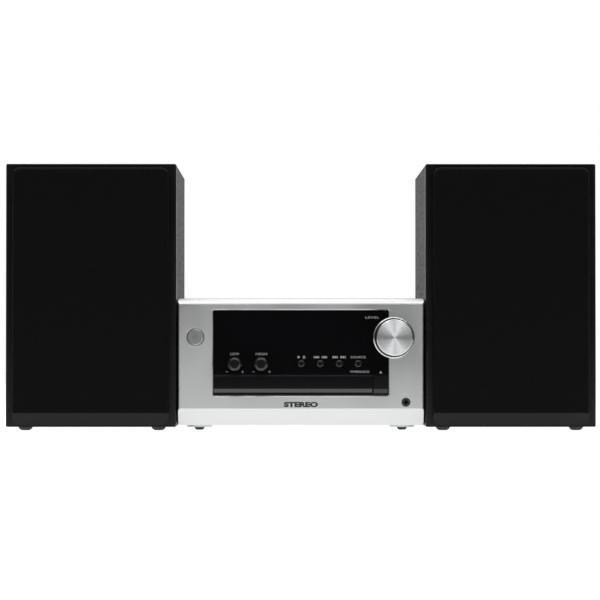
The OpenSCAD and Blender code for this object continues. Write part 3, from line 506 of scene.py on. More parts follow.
@dataclass(frozen=True)
class AshFoil:
    """Black foil with an open ash grain pressed into it, wrapped round fibreboard."""

    name: str
    colour: Colour = (0.022, 0.022, 0.023)
    stretch: Point = (420.0, 14.0, 420.0)

    def material(self) -> bpy.types.Material:
        """Returns the foil's material."""
        mat, g, bsdf = dress(self.name, IOR=1.45)
        bend = g.noise(g.place(), 14.0, 2.0)
        grain = g.group(EFFECTS.streaks(), Stretch=self.stretch)
        dusty = g.group(EFFECTS.dust(), Amount=0.22).outputs["Mask"]
        worn = g.group(EFFECTS.wear(), Radius=0.0006).outputs["Mask"]
        light = tuple(c * 1.9 for c in self.colour)
        base = g.tint(g.math("MULTIPLY", grain.outputs["Value"], bend), self.colour, light)
        base = g.tint(g.math("MULTIPLY", grain.outputs["Pore"], 0.7), base, (0.006, 0.006, 0.006))
        base = g.tint(g.math("MULTIPLY", worn, 0.35), base, (0.09, 0.085, 0.08))
        g.feed(bsdf.inputs["Base Color"], g.tint(dusty, base, (0.20, 0.195, 0.19)))
        rough = g.fade(grain.outputs["Value"], 0.25, 0.75, 0.42, 0.58)
        g.feed(bsdf.inputs["Roughness"], g.math("ADD", rough, g.math("MULTIPLY", dusty, 0.3), clamp=True))
        g.feed(bsdf.inputs["Normal"], g.bump(g.math("SUBTRACT", 1.0, grain.outputs["Pore"]), 0.00003))
        return mat


@dataclass(frozen=True)
class KnitCloth:
    """Fine black knitted speaker cloth, with painted light on its slanted foot band."""

    name: str
    lip_top: float
    pitch: float = 0.0009
    colour: Colour = (0.0026, 0.0026, 0.0028)
    # Painted light: the lighter colour given to the slanted foot band, standing in for the floor light that
    # it catches.
    band_painted_light: Colour = (0.022, 0.022, 0.023)

    def material(self) -> bpy.types.Material:
        """Returns the cloth's material."""
        mat, g, bsdf = dress(self.name, IOR=1.14)
        knit = g.group(EFFECTS.knit(), Pitch=self.pitch)
        lint = g.fade(g.noise(g.place(), 1500.0, 2.0), 0.74, 0.84)
        light = tuple(c * 1.9 for c in self.colour)
        base = g.tint(knit.outputs["Height"], self.colour, light)
        base = g.tint(knit.outputs["Gap"], base, (0.002, 0.002, 0.002))
        # Painted light: below the band's top the cloth is made lighter, standing in for the floor light that
        # the slanted band catches.
        band_light_share = g.fade(g.split(g.place())[2], self.lip_top, self.lip_top - 0.0012)
        base = g.tint(band_light_share, base, self.band_painted_light)
        g.feed(bsdf.inputs["Base Color"], g.tint(g.math("MULTIPLY", lint, 0.25), base, (0.12, 0.12, 0.12)))
        g.feed(bsdf.inputs["Roughness"], g.fade(knit.outputs["Height"], 0.0, 1.0, 0.85, 0.55))
        g.feed(bsdf.inputs["Normal"], g.bump(knit.outputs["Height"], 0.00018))
        return mat


@dataclass(frozen=True)
class PressedPaper:
    """Pressed paper cone with fibres, and a rubber roll beyond a set radius."""

    name: str
    centre: Point
    roll_from: float
    colour: Colour = (0.05, 0.047, 0.044)

    def material(self) -> bpy.types.Material:
        """Returns the cone's material."""
        mat, g, bsdf = dress(self.name, IOR=1.45)
        radius = g.group(EFFECTS.turning(), Centre=self.centre, Pitch=0.001).outputs["Radius"]
        fibre = g.noise(g.vector("MULTIPLY", g.place(), (1.0, 1.0, 2.6)).outputs[0], 900.0, 5.0, 0.75)
        rubber = g.fade(radius, self.roll_from - 0.0004, self.roll_from + 0.0004)
        paper = g.tint(fibre, self.colour, tuple(c * 2.4 for c in self.colour))
        g.feed(bsdf.inputs["Base Color"], g.tint(rubber, paper, (0.014, 0.014, 0.014)))
        g.feed(bsdf.inputs["Roughness"], g.fade(rubber, 0.0, 1.0, 0.85, 0.42))
        smooth = g.math("MULTIPLY", fibre, g.math("SUBTRACT", 1.0, g.math("MULTIPLY", rubber, 0.9)))
        g.feed(bsdf.inputs["Normal"], g.bump(smooth, 0.00012))
        return mat


@dataclass(frozen=True)
class PrintedBoard:
    """Circuit board: resist with copper tracks up to a level, and component bodies past it."""

    name: str
    axis: int
    level: float
    resist: Colour = (0.010, 0.085, 0.035)

    def material(self) -> bpy.types.Material:
        """Returns the board's material."""
        mat, g, bsdf = dress(self.name, IOR=1.5, Coat_Weight=0.3, Coat_Roughness=0.15)
        past = g.fade(g.split(g.place())[self.axis], self.level, self.level + 0.0002)
        cells = g.add("TexVoronoi", distance="MANHATTAN")
        cells.inputs["Scale"].default_value = 190.0
        g.feed(cells.inputs["Vector"], g.place())
        track = g.fade(cells.outputs["Distance"], 0.48, 0.52)
        dots = g.add("TexVoronoi")
        dots.inputs["Scale"].default_value = 330.0
        dots.inputs["Randomness"].default_value = 0.35
        g.feed(dots.inputs["Vector"], g.place())
        solder = g.fade(dots.outputs["Distance"], 0.16, 0.12)
        board = g.tint(track, self.resist, tuple(c * 2.2 for c in self.resist))
        board = g.tint(g.math("MULTIPLY", solder, 0.8), board, (0.55, 0.55, 0.53))
        case = g.tint(g.noise(g.place(), 40.0, 0.0), (0.012, 0.012, 0.013), (0.05, 0.055, 0.09))
        g.feed(bsdf.inputs["Base Color"], g.tint(past, board, case))
        g.feed(bsdf.inputs["Roughness"], g.fade(track, 0.0, 1.0, 0.38, 0.28))
        g.feed(bsdf.inputs["Metallic"], g.math("MULTIPLY", solder, g.math("SUBTRACT", 1.0, past)))
        g.feed(bsdf.inputs["Normal"], g.bump(g.math("MAXIMUM", track, solder), 0.00004))
        return mat


@dataclass(frozen=True)
class Ink:
    """Screen-printed ink."""

    name: str
    colour: Colour = (0.36, 0.36, 0.36)

    def material(self) -> bpy.types.Material:
        """Returns the ink's material."""
        mat, g, bsdf = dress(self.name, IOR=1.5)
        patchy = g.noise(g.place(), 5200.0, 2.0)
        g.feed(bsdf.inputs["Base Color"], g.tint(patchy, tuple(c * 0.85 for c in self.colour), self.colour))
        g.feed(bsdf.inputs["Roughness"], g.fade(patchy, 0.2, 0.8, 0.4, 0.55))
        g.feed(bsdf.inputs["Normal"], g.bump(patchy, 0.000004))
        return mat


@dataclass(frozen=True)
class DisplayTube:
    """Display tube: grey-green glass with a fine grid of segments behind it."""

    name: str

    def material(self) -> bpy.types.Material:
        """Returns the tube's material."""
        mat, g, bsdf = dress(self.name, IOR=1.52, Coat_Weight=1.0, Coat_Roughness=0.02)
        x, _, z = g.split(g.place())
        across = g.math("ABSOLUTE", g.math("SINE", g.math("MULTIPLY", x, 2600.0)))
        up = g.math("ABSOLUTE", g.math("SINE", g.math("MULTIPLY", z, 2600.0)))
        cell = g.fade(g.math("MINIMUM", across, up), 0.15, 0.35)
        g.feed(bsdf.inputs["Base Color"], g.tint(cell, (0.02, 0.024, 0.024), (0.07, 0.085, 0.08)))
        g.feed(bsdf.inputs["Roughness"], g.fade(cell, 0.0, 1.0, 0.35, 0.18))
        g.feed(bsdf.inputs["Normal"], g.bump(cell, 0.00001))
        return mat


# ---------------------------------------------------------------- mesh making


def middle_of(node: str) -> Flat:
    """Returns the (x, z) of the middle of a node's box."""
    low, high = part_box(node)
    return (low.x + high.x) / 2, (low.z + high.z) / 2


class Workshop:
    """Makes meshes in metres in the shared frame and turns them into dressed pieces."""

    def __init__(self) -> None:
        """Starts with no piece made."""
        self.made: list[str] = []

    def piece(
        self,
        name: str,
        bm: bmesh.types.BMesh,
        body: str,
        slot: str,
        material: bpy.types.Material,
        stands_for: Sequence[str] = (),
        crease: float = 32.0,
    ) -> bpy.types.Object:
        """Turns a bmesh into a finished piece that rides on a body.

        Args:
            name: the piece's name.
            bm: the mesh, which is freed.
            body: the CAD body it moves with.
            slot: the record's material slot; not used.
            material: its finish.
            stands_for: the CAD nodes that it replaces.
            crease: edges sharper than this many degrees stay sharp.

        Returns:
            The new object.
        """
        bmesh.ops.recalc_face_normals(bm, faces=bm.faces)
        mesh = bpy.data.meshes.new(name)
        bm.to_mesh(mesh)
        bm.free()
        mesh.shade_smooth()
        mesh.set_sharp_from_angle(angle=math.radians(crease))
        mesh.materials.append(material)
        thing = bpy.data.objects.new(name, mesh)
        bpy.context.scene.collection.objects.link(thing)
        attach(thing, body)
        if stands_for:
            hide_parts(*stands_for)
        self.made.append(name)
        LOG.info("%s rides on %s", name, body)
        return thing

    def dress_node(
        self,
        node: str,
        material: bpy.types.Material,
        round_by: float = 0.0,
        segments: int = 2,
        sharper_than: float = 35.0,
    ) -> bpy.types.Object:
        """Gives a CAD node its finish, and eases its sharp edges where it shows.

        Args:
            node: the node's name.
            material: its finish.
            round_by: the width of the eased edges, in metres, or 0 to leave them.
            segments: how many steps an eased edge has.
            sharper_than: the angle, in degrees, past which an edge is eased.

        Returns:
            The node's object.
        """
        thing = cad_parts[node]
        if not thing.data.materials:
            thing.data.materials.append(material)
        for place in thing.material_slots:
            place.material = material
        if round_by:
            weld = thing.modifiers.new("weld", "WELD")
            weld.merge_threshold = 0.000002
            ease = thing.modifiers.new("ease", "BEVEL")
            ease.width = round_by
            ease.segments = segments
            ease.limit_method = "ANGLE"
            ease.angle_limit = math.radians(sharper_than)
            even = thing.modifiers.new("even shading", "WEIGHTED_NORMAL")
            even.mode = "FACE_AREA"
            even.weight = 100
            even.keep_sharp = True
        self.made.append(node)
        LOG.info("%s dressed", node)
        return thing

    @staticmethod
    def turned(profile: Sequence[Flat], centre: Flat, segments: int = 96) -> bmesh.types.BMesh:
        """Turns a profile round a line along Y.

        Args:
            profile: points as (radius, y).
            centre: the line's (x, z).
            segments: how many steps make the full turn.

        Returns:
            The mesh, closed where the profile starts or ends on the line.
        """
        bm = bmesh.new()
        rings = []
        for radius, y in profile:
            if radius < 1e-7:
                rings.append([bm.verts.new((centre[0], y, centre[1]))])
                continue
            turn = [2 * math.pi * k / segments for k in range(segments)]
            ring = [(centre[0] + radius * math.cos(a), y, centre[1] + radius * math.sin(a)) for a in turn]
            rings.append([bm.verts.new(p) for p in ring])
        for one, two in zip(rings, rings[1:]):
            for k in range(segments):
                n = (k + 1) % segments
                if len(one) == 1 and len(two) == 1:
                    continue
                if len(one) == 1:
                    bm.faces.new((one[0], two[k], two[n]))
                elif len(two) == 1:
                    bm.faces.new((one[k], two[0], one[n]))
                else:
                    bm.faces.new((one[k], two[k], two[n], one[n]))
        return bm

    @classmethod
    def sleeve(cls, profile: Sequence[Flat], centre: Flat, segments: int = 96) -> bmesh.types.BMesh:
        """Turns a profile whose last point is its first, and welds the two together."""
        bm = cls.turned(profile, centre, segments)
        bmesh.ops.remove_doubles(bm, verts=bm.verts, dist=1e-7)
        return bm

    @staticmethod
    def plate(outline: Sequence[Flat], y_front: float, y_back: float) -> bmesh.types.BMesh:
        """Returns a flat plate with an outline given in X and Z."""
        bm = bmesh.new()
        front = [bm.verts.new((x, y_front, z)) for x, z in outline]
        back = [bm.verts.new((x, y_back, z)) for x, z in outline]
        bm.faces.new(front)
        bm.faces.new(list(reversed(back)))
        count = len(outline)
        for k in range(count):
            n = (k + 1) % count
            bm.faces.new((front[k], back[k], back[n], front[n]))
        return bm

    @staticmethod
    def bar(centre: Flat, half_width: float, half_height: float) -> list[Flat]:
        """Returns the outline of an upright rectangle round a point."""
        x, z = centre
        left, right = x - half_width, x + half_width
        low, high = z - half_height, z + half_height
        return [(left, low), (right, low), (right, high), (left, high)]

    @staticmethod
    def arc(centre: Flat, radius: float, start: float, end: float, steps: int) -> list[Flat]:
        """Returns points along an arc.

        Args:
            centre: the arc's middle, as (x, z).
            radius: its radius.
            start: its first angle from X, in degrees.
            end: its last angle.
            steps: how many steps it has.

        Returns:
            The points, both ends included.
        """
        turn = [math.radians(start + (end - start) * k / steps) for k in range(steps + 1)]
        return [(centre[0] + radius * math.cos(a), centre[1] + radius * math.sin(a)) for a in turn]

    @staticmethod
    def merged(parts: Iterable[bmesh.types.BMesh]) -> bmesh.types.BMesh:
        """Joins several meshes into one and frees them."""
        whole = bmesh.new()
        for part in parts:
            scratch = bpy.data.meshes.new("scratch")
            part.to_mesh(scratch)
            part.free()
            whole.from_mesh(scratch)
            bpy.data.meshes.remove(scratch)
        return whole

    @staticmethod
    def letters(
        words: str,
        centre: Flat,
        height: float,
        width: float,
        y_front: float,
        depth: float,
        swell: float = 0.0,
    ) -> bmesh.types.BMesh:
        """Sets plain lettering on a face that looks along -Y.

        Args:
            words: the lettering.
            centre: the middle of the lettering, as (x, z).
            height: the height of a capital.
            width: the full width that it is fitted to.
            y_front: where its face lies.
            depth: how thick it is.
            swell: how far the strokes are thickened, as a share of the height.

        Returns:
            The mesh.
        """
        curve = bpy.data.curves.new("lettering", "FONT")
        curve.body = words
        curve.size = height * 1.4
        curve.extrude = depth / 2
        curve.offset = swell * height
        curve.resolution_u = 3
        scratch = bpy.data.objects.new("lettering", curve)
        bpy.context.scene.collection.objects.link(scratch)
        bpy.context.view_layer.update()
        mesh = bpy.data.meshes.new_from_object(scratch)
        bpy.data.objects.remove(scratch)
        bpy.data.curves.remove(curve)
        low = [min(v.co[i] for v in mesh.vertices) for i in range(2)]
        high = [max(v.co[i] for v in mesh.vertices) for i in range(2)]
        fit = (width / (high[0] - low[0]), height / (high[1] - low[1]))
        for v in mesh.vertices:
            x = centre[0] + (v.co.x - (low[0] + high[0]) / 2) * fit[0]
            z = centre[1] + (v.co.y - (low[1] + high[1]) / 2) * fit[1]
            v.co = (x, y_front + depth / 2 - v.co.z, z)
        bm = bmesh.new()
        bm.from_mesh(mesh)
        bpy.data.meshes.remove(mesh)
        return bm


SHOP = Workshop()


# ---------------------------------------------------------------- studio


@dataclass
class Studio:
    """Pale floor, soft lights and the camera."""

    distance: float = 2.5
    eye: tuple[float, float] = (-0.0118, 0.0648)
    aim: tuple[float, float] = (-0.0008, 0.1122)
    picture_width: float = 0.5155
    sensor: float = 36.0
    floor_size: float = 8.0
    floor_near: float = 0.88
    floor_far: float = 0.27
    floor_reach: tuple[float, float] = (0.16, 0.55)
    wall: float = 0.17
    ceiling: float = 0.68
    rear_wall: float = 0.6
    front_wall: float = 0.03

    def build(self) -> None:
        """Makes the whole studio."""
        self._camera()
        self._floor()
        self._lights()
        self._world()

    def _camera(self) -> None:
        """Sets the camera at its distance from the front panel's plane."""
        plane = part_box("front_panel")[0].y
        camera = bpy.data.cameras.new("camera")
        camera.sensor_width = self.sensor
        camera.lens = self.sensor * self.distance / self.picture_width
        camera.clip_end = 50.0
        holder = bpy.data.objects.new("camera", camera)
        bpy.context.scene.collection.objects.link(holder)
        holder.location = (self.eye[0], plane - self.distance, self.eye[1])
        look = Vector((self.aim[0], plane, self.aim[1])) - holder.location
        holder.rotation_euler = look.to_track_quat("-Z", "Y").to_euler()
        bpy.context.scene.camera = holder

    def _floor(self) -> None:
        """Lays the floor that the set stands on."""
        half = self.floor_size / 2
        bm = bmesh.new()
        corners = ((-half, -half), (half, -half), (half, half), (-half, half))
        bm.faces.new([bm.verts.new((x, y, 0.0)) for x, y in corners])
        mesh = bpy.data.meshes.new("floor")
        bm.to_mesh(mesh)
        bm.free()
        mat, g, bsdf = dress("pale floor", Emission_Strength=1.0)
        x, y, _ = g.split(g.place())
        across = g.math("MULTIPLY", x, 0.5)
        away = g.math("SQRT", g.math("ADD", g.math("MULTIPLY", across, across), g.math("MULTIPLY", y, y)))
        glow = g.fade(away, *self.floor_reach, self.floor_near, self.floor_far)
        near = g.fade(away, 0.7, 1.9, 1.0, 0.0)
        glow = g.math("MULTIPLY", glow, near)
        g.feed(bsdf.inputs["Base Color"], g.tint(near, (0.01, 0.01, 0.01), (0.45, 0.45, 0.45)))
        seen = g.add("LightPath").outputs["Is Camera Ray"]
        g.feed(bsdf.inputs["Emission Color"], g.tint(seen, glow, (1.0, 1.0, 1.0)))
        g.feed(bsdf.inputs["Roughness"], g.fade(g.noise(g.place(), 40.0), 0.2, 0.8, 0.55, 0.65))
        mesh.materials.append(mat)
        floor = bpy.data.objects.new("floor", mesh)
        bpy.context.scene.collection.objects.link(floor)

    def _panel_light(self, name: str, place: Point, target: Point, size: Flat, power: float) -> None:
        """Adds a soft rectangular light aimed at a point."""
        lamp = bpy.data.lights.new(name, "AREA")
        lamp.shape = "RECTANGLE"
        lamp.size, lamp.size_y = size
        lamp.energy = power
        holder = bpy.data.objects.new(name, lamp)
        holder.visible_camera = False
        bpy.context.scene.collection.objects.link(holder)
        holder.location = place
        look = Vector(target) - Vector(place)
        holder.rotation_euler = look.to_track_quat("-Z", "Y").to_euler()

    def _lights(self) -> None:
        """Hangs a wide light over the set and two smaller ones in front of it."""
        self._panel_light("top light", (0.0, 0.1, 1.5), (0.0, 0.0, 0.0), (2.6, 1.6), 11.0)
        for name, x in (("left key", -0.42), ("right key", 0.58)):
            self._panel_light(name, (x, -1.25, 1.30), (0.0, -0.1, 0.08), (0.5, 1.0), 5.0)

    def _world(self) -> None:
        """Makes the backdrop white to the camera, and a room with a dark front wall otherwise."""
        world = bpy.data.worlds.new("studio")
        world.use_nodes = True
        scene = bpy.context.scene
        scene.world = world
        scene.view_settings.view_transform = "Standard"
        g = Graph(world.node_tree)
        back = world.node_tree.nodes["Background"]
        back.inputs["Color"].default_value = (1.0, 1.0, 1.0, 1.0)
        _, y, z = g.split(g.add("TexCoord").outputs["Generated"])
        height = g.fade(z, 0.05, 0.75, self.wall, self.ceiling)
        behind = g.fade(y, -0.1, 0.6, 0.0, self.rear_wall - self.wall)
        towards = g.math("MULTIPLY", y, -1.0)
        front = g.fade(towards, 0.90, 0.985, 1.0, self.front_wall)
        room = g.math("MULTIPLY", g.math("ADD", height, behind), front)
        seen = g.add("LightPath").outputs["Is Camera Ray"]
        unseen = g.math("MULTIPLY", room, g.math("SUBTRACT", 1.0, seen))
        g.feed(back.inputs["Strength"], g.math("ADD", unseen, seen))


# ---------------------------------------------------------------- main unit


@dataclass
class UnitCase:
    """Front panel, cover, chassis, feet and screws of the main unit."""

    ease: float = 0.0004
    thin_ease: float = 0.0002

    def build(self) -> None:
        """Dresses every piece of the case."""
        silver = SilverLacquer("silver panel lacquer").material()
        cover = SilverLacquer("silver cover paint", (0.66, 0.665, 0.67), 0.42, 0.00001).material()
        zinc = BareMetal("zinc plated sheet", Metal.PLATED, (0.62, 0.63, 0.64), 0.34).material()
        rubber = Moulded("foot rubber", (0.02, 0.02, 0.02), 0.75, 0.0005, 0.00003).material()
        screw = BareMetal("black zinc screw", Metal.PLATED, (0.06, 0.06, 0.065), 0.35).material()
        SHOP.dress_node("front_panel", silver, self.thin_ease)
        SHOP.dress_node("top_cover", cover)
        SHOP.dress_node("chassis", zinc)
        SHOP.dress_node("unit_feet", rubber, self.ease)
        SHOP.dress_node("case_screws", screw)


@dataclass
class WindowArea:
    """Gloss window, the black fascia behind it and everything printed on them."""

    ink_depth: float = 0.00006
    button_first: float = 0.0003
    button_step: float = 0.0163
    icon_z: float = 0.0631

    def build(self) -> None:
        """Dresses the window and prints the marks."""
        window = PolishedBlack("dark acrylic", (0.003, 0.003, 0.0035), 0.035, 0.8, 0.03, 0.000004).material()
        fascia = PolishedBlack("polished black moulding", (0.010, 0.010, 0.011), 0.08, 0.5).material()
        tube = DisplayTube("display tube").material()
        SHOP.dress_node("display_window", window, 0.0002)
        SHOP.dress_node("fascia_frame", fascia)
        SHOP.dress_node("display_module", tube)
        self._print_marks()

    def _symbol(self, symbol: Symbol, centre: Flat, size: float) -> list[list[Flat]]:
        """Returns the outlines of a mark.

        Args:
            symbol: which mark.
            centre: its middle, as (x, z).
            size: its height.

        Returns:
            Its closed outlines.
        """
        x, z = centre
        h = size / 2
        stroke = 0.16 * h
        if symbol is Symbol.PLAY:
            return [self._arrow(centre, 0.85 * h, h)]
        if symbol is Symbol.EJECT:
            return [[(x - 1.2 * h, z - h), (x + 1.2 * h, z - h), (x, z + h)]]
        if symbol is Symbol.PAUSE:
            return [SHOP.bar((x + shift, z), 0.2 * h, h) for shift in (-0.5 * h, 0.5 * h)]
        if symbol in (Symbol.NEXT, Symbol.BACK):
            way = 1.0 if symbol is Symbol.NEXT else -1.0
            shapes = [self._arrow((x + way * shift, z), way * 0.8 * h, h) for shift in (-1.1 * h, 0.5 * h)]
            return shapes + [SHOP.bar((x + way * 1.55 * h, z), 0.18 * h, h)]
        level = SHOP.bar(centre, h, stroke)
        return [level, SHOP.bar(centre, stroke, h)] if symbol is Symbol.PLUS else [level]

    @staticmethod
    def _arrow(centre: Flat, reach: float, half: float) -> list[Flat]:
        """Returns a triangle that points along X, or against it where reach is negative."""
        x, z = centre
        return [(x - reach, z - half), (x + reach, z), (x - reach, z + half)]

    def _print_marks(self) -> None:
        """Prints the marks and the plain lettering on the window and the flap's neighbour."""
        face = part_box("display_window")[0].y - self.ink_depth
        ink = Ink("pale grey ink").material()
        buttons = [self.button_first + self.button_step * k for k in range(4)]
        marks = [
            (Symbol.PLAY, (buttons[0] - 0.0020, self.icon_z), 0.0026),
            (Symbol.PAUSE, (buttons[0] + 0.0024, self.icon_z), 0.0026),
            (Symbol.BACK, (buttons[1] - 0.0034, self.icon_z), 0.0024),
            (Symbol.BACK, (buttons[1] + 0.0034, self.icon_z), 0.0024),
            (Symbol.NEXT, (buttons[2] - 0.0034, self.icon_z), 0.0024),
            (Symbol.NEXT, (buttons[2] + 0.0034, self.icon_z), 0.0024),
            (Symbol.EJECT, (0.0686, 0.0503), 0.0022),
        ]
        for minus, plus in ((-0.0635, -0.0501), (-0.0407, -0.0271)):
            marks.append((Symbol.MINUS, (minus, 0.0505), 0.0020))
            marks.append((Symbol.PLUS, (plus, 0.0505), 0.0020))
        parts = [
            SHOP.plate(outline, face, face + self.ink_depth)
            for symbol, centre, size in marks
            for outline in self._symbol(symbol, centre, size)
        ]
        words = [
            ("LEVEL", (0.0614, 0.0972), 0.0019, 0.0120),
            ("LOW", (-0.0568, 0.0658), 0.0022, 0.0078),
            ("HIGH", (-0.0340, 0.0658), 0.0022, 0.0096),
            ("SOURCE", (buttons[3], self.icon_z), 0.0019, 0.0130),
            ("WIRELESS", (0.0504, 0.0506), 0.0018, 0.0165),
        ]
        parts += [SHOP.letters(w, at, high, wide, face, self.ink_depth) for w, at, high, wide in words]
        SHOP.piece("window_print", SHOP.merged(parts), "main_unit", "window_black", ink)


@dataclass
class VolumeControl:
    """Volume knob in its bright ring."""

    crown: float = 0.0003
    rim: float = 0.0007
    skirt: float = 22.0 * MM
    wall: float = 2.0 * MM
    face_thickness: float = 3.0 * MM
    hub: float = 4.5 * MM
    stem: float = 2.9 * MM
    segments: int = 160

    def build(self) -> None:
        """Makes the knob and the ring with finer roundings than the solids have."""
        low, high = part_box("volume_knob")
        centre = middle_of("volume_knob")
        radius = (high.x - low.x) / 2
        axis = (centre[0], 0.0, centre[1])
        face = BareMetal("turned aluminium face", Metal.TURNED, (0.93, 0.94, 0.95), 0.50, axis)
        rim = BareMetal("polished aluminium rim", Metal.TURNED, (0.86, 0.87, 0.88), 0.14, axis, 0.00012)
        # Painted shade: the knob's side wall is made dark, standing in for the shade in the gap between knob
        # and ring.
        wall = BareMetal("knob side painted shade", Metal.TURNED, (0.16, 0.16, 0.165), 0.30, axis, 0.00012)
        knob = SHOP.turned(self._profile(low.y, high.y, radius), centre, self.segments)
        made = SHOP.piece(
            "volume_knob_turned",
            knob,
            "volume_knob",
            "knob_aluminium",
            face.material(),
            stands_for=("volume_knob",),
            crease=25.0,
        )
        made.data.materials.append(rim.material())
        made.data.materials.append(wall.material())
        # Faces on the side past the rim get the painted-shade material; the rim's rounding gets the polished
        # one.
        for poly in made.data.polygons:
            out = math.hypot(poly.center.x - centre[0], poly.center.z - centre[1])
            if out > radius - self.rim:
                poly.material_index = 2 if poly.center.y > low.y + self.rim + self.crown else 1
        ring = BareMetal("bright satin ring", Metal.TURNED, (0.80, 0.81, 0.82), 0.22, axis)
        SHOP.dress_node("volume_bezel", ring.material(), 0.0002)

    def _profile(self, front: float, back: float, radius: float) -> list[Flat]:
        """Returns the knob's outline as (radius, y): crowned face, fine rim, hollow rear and stem."""
        skirt = front + self.skirt
        points = [(0.0, front)]
        points += [(share * radius, front + self.crown * share**2) for share in (0.2, 0.5, 0.8)]
        rim = self.rim
        inner = radius - rim
        points.append((inner, front + self.crown))
        for k in range(1, 7):
            a = math.radians(15 * k)
            points.append((inner + rim * math.sin(a), front + self.crown + rim * (1 - math.cos(a))))
        hollow = radius - self.wall
        floor = front + self.face_thickness
        foot = skirt + 0.4 * MM
        points += [(radius, skirt - 0.6 * MM), (radius - 0.3 * MM, skirt), (hollow, skirt)]
        points += [(hollow, floor), (self.hub, floor), (self.hub, foot)]
        points += [(self.stem, foot), (self.stem, back), (0.0, back)]
        return points


@dataclass
class SmallControls:
    """Tone knobs, round buttons, power button and the open/close button."""

    def build(self) -> None:
        """Dresses the knobs and buttons."""
        for name in ("bass_knob", "treble_knob"):
            black = PolishedBlack(f"{name} black", (0.006, 0.006, 0.007), 0.12, 0.1, 0.04).material()
            SHOP.dress_node(name, black, 0.0003, sharper_than=20.0)
            self._rim(name)
        gloss = PolishedBlack("button black", (0.006, 0.006, 0.007), 0.10, 0.1, 0.04).material()
        for name in ("play", "skip_back", "skip_forward", "selector", "eject"):
            SHOP.dress_node(f"{name}_button", gloss, 0.0002, sharper_than=20.0)
        silver = SilverLacquer("silver button lacquer", roughness=0.24).material()
        SHOP.dress_node("power_button", silver, 0.0002)
        self._power_mark()
        self._power_gap()

    def _rim(self, knob: str) -> None:
        """Adds the thin ring round a tone knob's foot."""
        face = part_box("display_window")[0].y
        x, z = middle_of(knob)
        outer = (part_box(knob)[1].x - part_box(knob)[0].x) / 2 + 0.45 * MM
        inner = outer - 0.35 * MM
        proud = face - 0.5 * MM
        ring = [(inner, face), (inner, proud), (outer, proud), (outer, face), (inner, face)]
        metal = BareMetal(f"{knob} ring metal", Metal.TURNED, (0.08, 0.08, 0.084), 0.25, (x, 0.0, z))
        sleeve = SHOP.sleeve(ring, (x, z))
        SHOP.piece(f"{knob}_ring", sleeve, "main_unit", "bezel_bright", metal.material())

    def _power_gap(self) -> None:
        """Sets a thin dark ring in the gap round the power button, as painted shadow for the gap's shade."""
        low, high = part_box("power_button")
        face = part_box("front_panel")[0].y + 0.5 * MM
        rear = face + 0.6 * MM
        flange = 1.4 * MM
        button = (high.x - low.x) / 2 - flange
        inner, outer = button + 0.03 * MM, button + 0.43 * MM
        ring = [(inner, face), (outer, face), (outer, rear), (inner, rear), (inner, face)]
        # Painted shadow: a near-black ring standing in for the shade inside the gap round the button.
        gap_shadow = Moulded("power gap painted shadow", (0.006, 0.006, 0.006), 0.8).material()
        sleeve = SHOP.sleeve(ring, middle_of("power_button"))
        SHOP.piece("power_gap_painted_shadow", sleeve, "main_unit", "jack_black", gap_shadow)

    def _power_mark(self) -> None:
        """Prints the plain ring-and-stroke mark on the power button."""
        centre = middle_of("power_button")
        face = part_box("power_button")[0].y
        radius, stroke, gap, tall = 1.9 * MM, 0.16 * MM, 35.0, 2.3 * MM
        outer = SHOP.arc(centre, radius + stroke, 90 + gap, 450 - gap, 24)
        inner = SHOP.arc(centre, radius - stroke, 450 - gap, 90 + gap, 24)
        bar = SHOP.bar((centre[0], centre[1] + tall / 2), stroke, tall / 2)
        parts = [SHOP.plate(shape, face - PRINT_DEPTH, face) for shape in (outer + inner, bar)]
        grey = Ink("dark grey ink", (0.10, 0.10, 0.10)).material()
        SHOP.piece("power_mark", SHOP.merged(parts), "power_button", "power_silver", grey)


@dataclass
class PanelFittings:
    """Headphone socket and the nameplate under the window."""

    plate_centre: Flat = (0.0, 0.0224)
    plate_size: Flat = (0.0294, 0.0046)
    phones_mark: Flat = (0.0902, 0.0318)

    def build(self) -> None:
        """Dresses the socket and sets the nameplate."""
        socket = Moulded("socket black", (0.014, 0.014, 0.014), 0.35).material()
        SHOP.dress_node("phones_jack", socket, 0.0002)
        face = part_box("front_panel")[0].y
        ink = Ink("charcoal ink", (0.020, 0.020, 0.021)).material()
        depth = 0.12 * MM
        wide, high = self.plate_size
        name = SHOP.letters("STEREO", self.plate_centre, high, wide, face - depth, depth, 0.085)
        SHOP.piece("nameplate", name, "main_unit", "jack_black", ink)
        white = Ink("white ink", (0.75, 0.75, 0.75)).material()
        SHOP.piece("phones_print", self._phones_mark(face), "main_unit", "jack_black", white)

    def _phones_mark(self, face: float) -> bmesh.types.BMesh:
        """Returns the small headphone mark over the socket: a band and two ear cups."""
        x, z = self.phones_mark
        radius, stroke = 1.25 * MM, 0.14 * MM
        over, under = radius + stroke, radius - stroke
        shapes = [SHOP.arc((x, z), over, 0, 180, 16) + SHOP.arc((x, z), under, 180, 0, 16)]
        shapes += [SHOP.bar((x + side * radius, z - 0.55 * MM), 0.35 * MM, 0.55 * MM) for side in (-1, 1)]
        return SHOP.merged(SHOP.plate(shape, face - PRINT_DEPTH, face) for shape in shapes)


